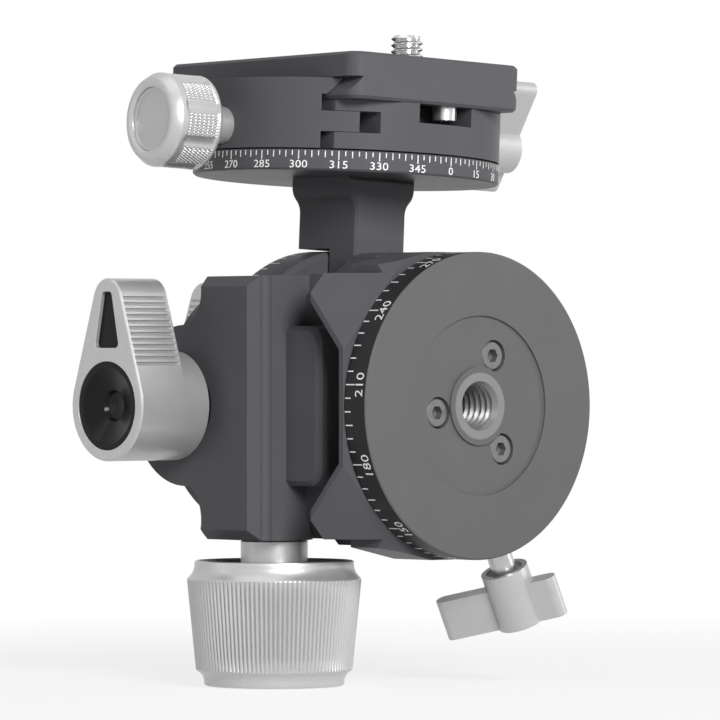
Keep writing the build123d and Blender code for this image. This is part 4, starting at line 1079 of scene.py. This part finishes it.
@dataclass
class GripPads:
    """The studded rubber strips on top of the plate."""

    cutters: Cutters
    paint: PaintShop
    near: float = 4.6
    far: float = 17.8
    low_end: float = -24.0
    high_end: float = 27.0
    bottom: float = 67.25
    top: float = 68.05
    rise: float = 0.45
    stud_pitch: float = 1.5
    stud_sunk: float = 0.05
    foot_share: float = 0.62  # of the pitch
    crest_share: float = 0.35  # of the foot

    def build(self) -> None:
        """Make both strips as one piece, with their studs."""
        material = self.paint.material(RUBBER_FINISH)
        points, faces = [], []
        for side in (-1, 1):
            strip = self._strip(side * (self.near + self.far) / 2, material)
            start = len(points)
            points += [tuple(vertex.co) for vertex in strip.data.vertices]
            faces += [[start + i for i in face.vertices] for face in strip.data.polygons]
            bpy.data.objects.remove(strip)
        mesh = bpy.data.meshes.new("grip_pads_studded")
        mesh.from_pydata(points, [], faces)
        mesh.transform(CLAMP_SPINDLE.matrix())
        piece = new_piece("grip_pads_studded", mesh)
        finish_piece(piece, material, "plate", ("grip_pads",))

    def _strip(self, middle: float, material: bpy.types.Material) -> bpy.types.Object:
        """One strip with its studs, in millimetres, at a distance across the clamp."""
        wide, long = self.far - self.near, self.high_end - self.low_end
        centre = (self.high_end + self.low_end) / 2
        strip = new_piece("strip", bar_mesh(
            "strip", wide / 2, long / 2, self.bottom, self.top))
        foot = self.stud_pitch * self.foot_share
        self.cutters.run(
            Cut.STUDS, strip, Long=long - self.stud_pitch, Wide=wide - self.stud_pitch,
            Rows=round(long / self.stud_pitch), Columns=round(wide / self.stud_pitch),
            Top=self.top - self.stud_sunk, Foot=foot, Crest=foot * self.crest_share,
            Rise=self.rise, Material=material,
        )
        strip.data.transform(Matrix.Translation((middle, centre, 0)))
        return strip


class CadDresser:
    """Gives every CAD node that stays the material of its record slot."""

    special = {
        "jaw_knob_disc": SPUN_FINISH,
        "base_screws": SUNK_SCREW_FINISH,
    }

    def __init__(self, paint: PaintShop) -> None:
        """Keep the paint shop."""
        self.paint = paint

    def build(self, frame: dict) -> None:
        """Dress the nodes.
        """
        for row in frame["record"]["subparts"]:
            node = row["node"]
            slot = Slot(row["material_slot"])
            material = self.paint.material(self.special.get(node, FINISH_OF_SLOT[slot]))
            piece = frame["nodes"][node]
            for holder in piece.material_slots:
                holder.material = material
            LOG.info("%s is dressed as %s", node, material.name)


# --- Studio -------------------------------------------------------------------------
@dataclass(frozen=True)
class Lamp:
    """A soft box, as a direction from the object, a size and the level it gives."""

    name: str
    towards: tuple[float, float, float]
    distance: float  # metres
    size: tuple[float, float]  # metres
    level: float  # brightness of a white surface that faces it


@dataclass
class Studio:
    """Camera, floor, surroundings and lamps."""

    camera_place: tuple[float, float, float] = (-0.7987, -0.8570, 0.00895)
    camera_turn: float = -41.84  # about z, degrees
    lens: float = 300.95
    sensor: float = 36.0
    floor_drop: float = 0.2  # below the lowest point
    floor_half: float = 30.0  # metres
    floor_near: float = 0.35  # metres, how far round the object the floor takes shadows
    shadow_share: float = 0.18
    fill: float = 0.03
    lamps: tuple[Lamp, ...] = (
        Lamp("key_box", (-0.36, -0.84, 0.38), 1.3, (0.45, 0.45), 1.05),
        Lamp("right_box", (0.80, -0.58, 0.20), 1.3, (0.4, 0.9), 0.22),
        Lamp("left_strip", (-0.80, 0.56, 0.20), 1.1, (0.25, 1.0), 0.05),
        Lamp("top_box", (-0.15, 0.10, 1.0), 1.2, (0.9, 0.9), 0.14),
    )

    def build(self, low: Vector) -> None:
        """Set up everything round the object.

        Args:
            low: the object's lowest corner, in metres.
        """
        self._camera()
        self._floor(low.z - self.floor_drop * MM)
        self._world()
        for lamp in self.lamps:
            self._lamp(lamp)
        bpy.context.scene.view_settings.view_transform = "Standard"

    def _camera(self) -> None:
        """Make the camera at the photographed angle."""
        data = bpy.data.cameras.new("camera")
        data.lens, data.sensor_width = self.lens, self.sensor
        data.clip_start, data.clip_end = 0.01, 100.0
        camera = bpy.data.objects.new("camera", data)
        camera.location = self.camera_place
        camera.rotation_euler = (math.radians(90.0), 0.0, math.radians(self.camera_turn))
        bpy.context.scene.collection.objects.link(camera)
        bpy.context.scene.camera = camera

    def _seen_directly(self, tree: Tree) -> bpy.types.NodeSocket:
        """One for what the camera sees, directly or in metal or glass."""
        path = tree.add("ShaderNodeLightPath")
        mirrored = tree.math(
            "MAXIMUM", path.outputs["Is Camera Ray"], path.outputs["Is Glossy Ray"])
        return tree.math("MAXIMUM", mirrored, path.outputs["Is Transmission Ray"])

    def _floor(self, height: float) -> None:
        """A plain pale floor that keeps the object's shadow near it."""
        half = self.floor_half
        mesh = bpy.data.meshes.new("floor")
        mesh.from_pydata(
            [(-half, -half, height), (half, -half, height), (half, half, height),
             (-half, half, height)], [], [(0, 1, 2, 3)],
        )
        floor = new_piece("floor", mesh)
        material = bpy.data.materials.new("pale_floor")
        material.use_nodes = True
        material.node_tree.nodes.clear()
        tree = Tree(material.node_tree)
        place = tree.add("ShaderNodeTexCoord").outputs["Object"]
        away = tree.length(place)
        near = tree.out("ShaderNodeMapRange", {
            "Value": away, "From Min": self.floor_near * 0.4, "From Max": self.floor_near,
            "To Min": self.shadow_share, "To Max": 0.0})
        plain = tree.out("ShaderNodeBsdfDiffuse", {"Color": (0.90, 0.90, 0.90, 1.0)})
        white = tree.out("ShaderNodeEmission", {"Color": (1.0, 1.0, 1.0, 1.0)})
        far = tree.minus(1.0, near)
        seen = tree.times(self._seen_directly(tree), far)
        mixed = tree.out("ShaderNodeMixShader", {0: seen, 1: plain, 2: white})
        out = tree.add("ShaderNodeOutputMaterial")
        tree.link(mixed, out.inputs["Surface"])
        mesh.materials.append(material)
        floor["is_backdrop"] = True

    def _world(self) -> None:
        """White where it is seen, and an even fill as light."""
        world = bpy.data.worlds.new("surroundings")
        bpy.context.scene.world = world
        world.use_nodes = True
        world.node_tree.nodes.clear()
        tree = Tree(world.node_tree)
        white = (1.0, 1.0, 1.0, 1.0)
        fill, seen = (
            tree.out("ShaderNodeBackground", {"Color": white, "Strength": strength})
            for strength in (self.fill, 1.0)
        )
        direct = self._seen_directly(tree)
        mixed = tree.add("ShaderNodeMixShader", {0: direct, 1: fill, 2: seen})
        out = tree.add("ShaderNodeOutputWorld")
        tree.link(mixed.outputs[0], out.inputs["Surface"])

    def _lamp(self, lamp: Lamp) -> None:
        """Hang one soft box, aimed at the object."""
        data = bpy.data.lights.new(lamp.name, "AREA")
        data.shape = "RECTANGLE"
        data.size, data.size_y = lamp.size
        data.energy = lamp.level * math.pi ** 2 * lamp.distance ** 2
        direction = Vector(lamp.towards).normalized()
        light = bpy.data.objects.new(lamp.name, data)
        light.location = direction * lamp.distance
        light.rotation_mode = "QUATERNION"
        light.rotation_quaternion = (-direction).to_track_quat("-Z", "Y")
        bpy.context.scene.collection.objects.link(light)


def main() -> None:
    """Build the looks round the frame, in order."""
    logging.basicConfig(level=logging.INFO, format="%(name)s: %(message)s")
    for leftover in list(bpy.data.objects):
        bpy.data.objects.remove(leftover)
    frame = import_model()
    cad_low, cad_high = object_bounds()

    paint = PaintShop()
    cutters = Cutters()
    CadDresser(paint).build(frame)
    scales = ScaleMaker(cutters, paint)
    for scale in (RIM_SCALE, PLATFORM_SCALE, DRUM_SCALE):
        scales.build(scale)
    turner = Turner(cutters, paint)
    for part in (FINE_KNOB, JAW_KNOB, TRIPOD_THREAD, CAMERA_SCREW):
        turner.build(part)
    GripPads(cutters, paint).build()
    Studio().build(cad_low)


if __name__ == "__main__":
    main()
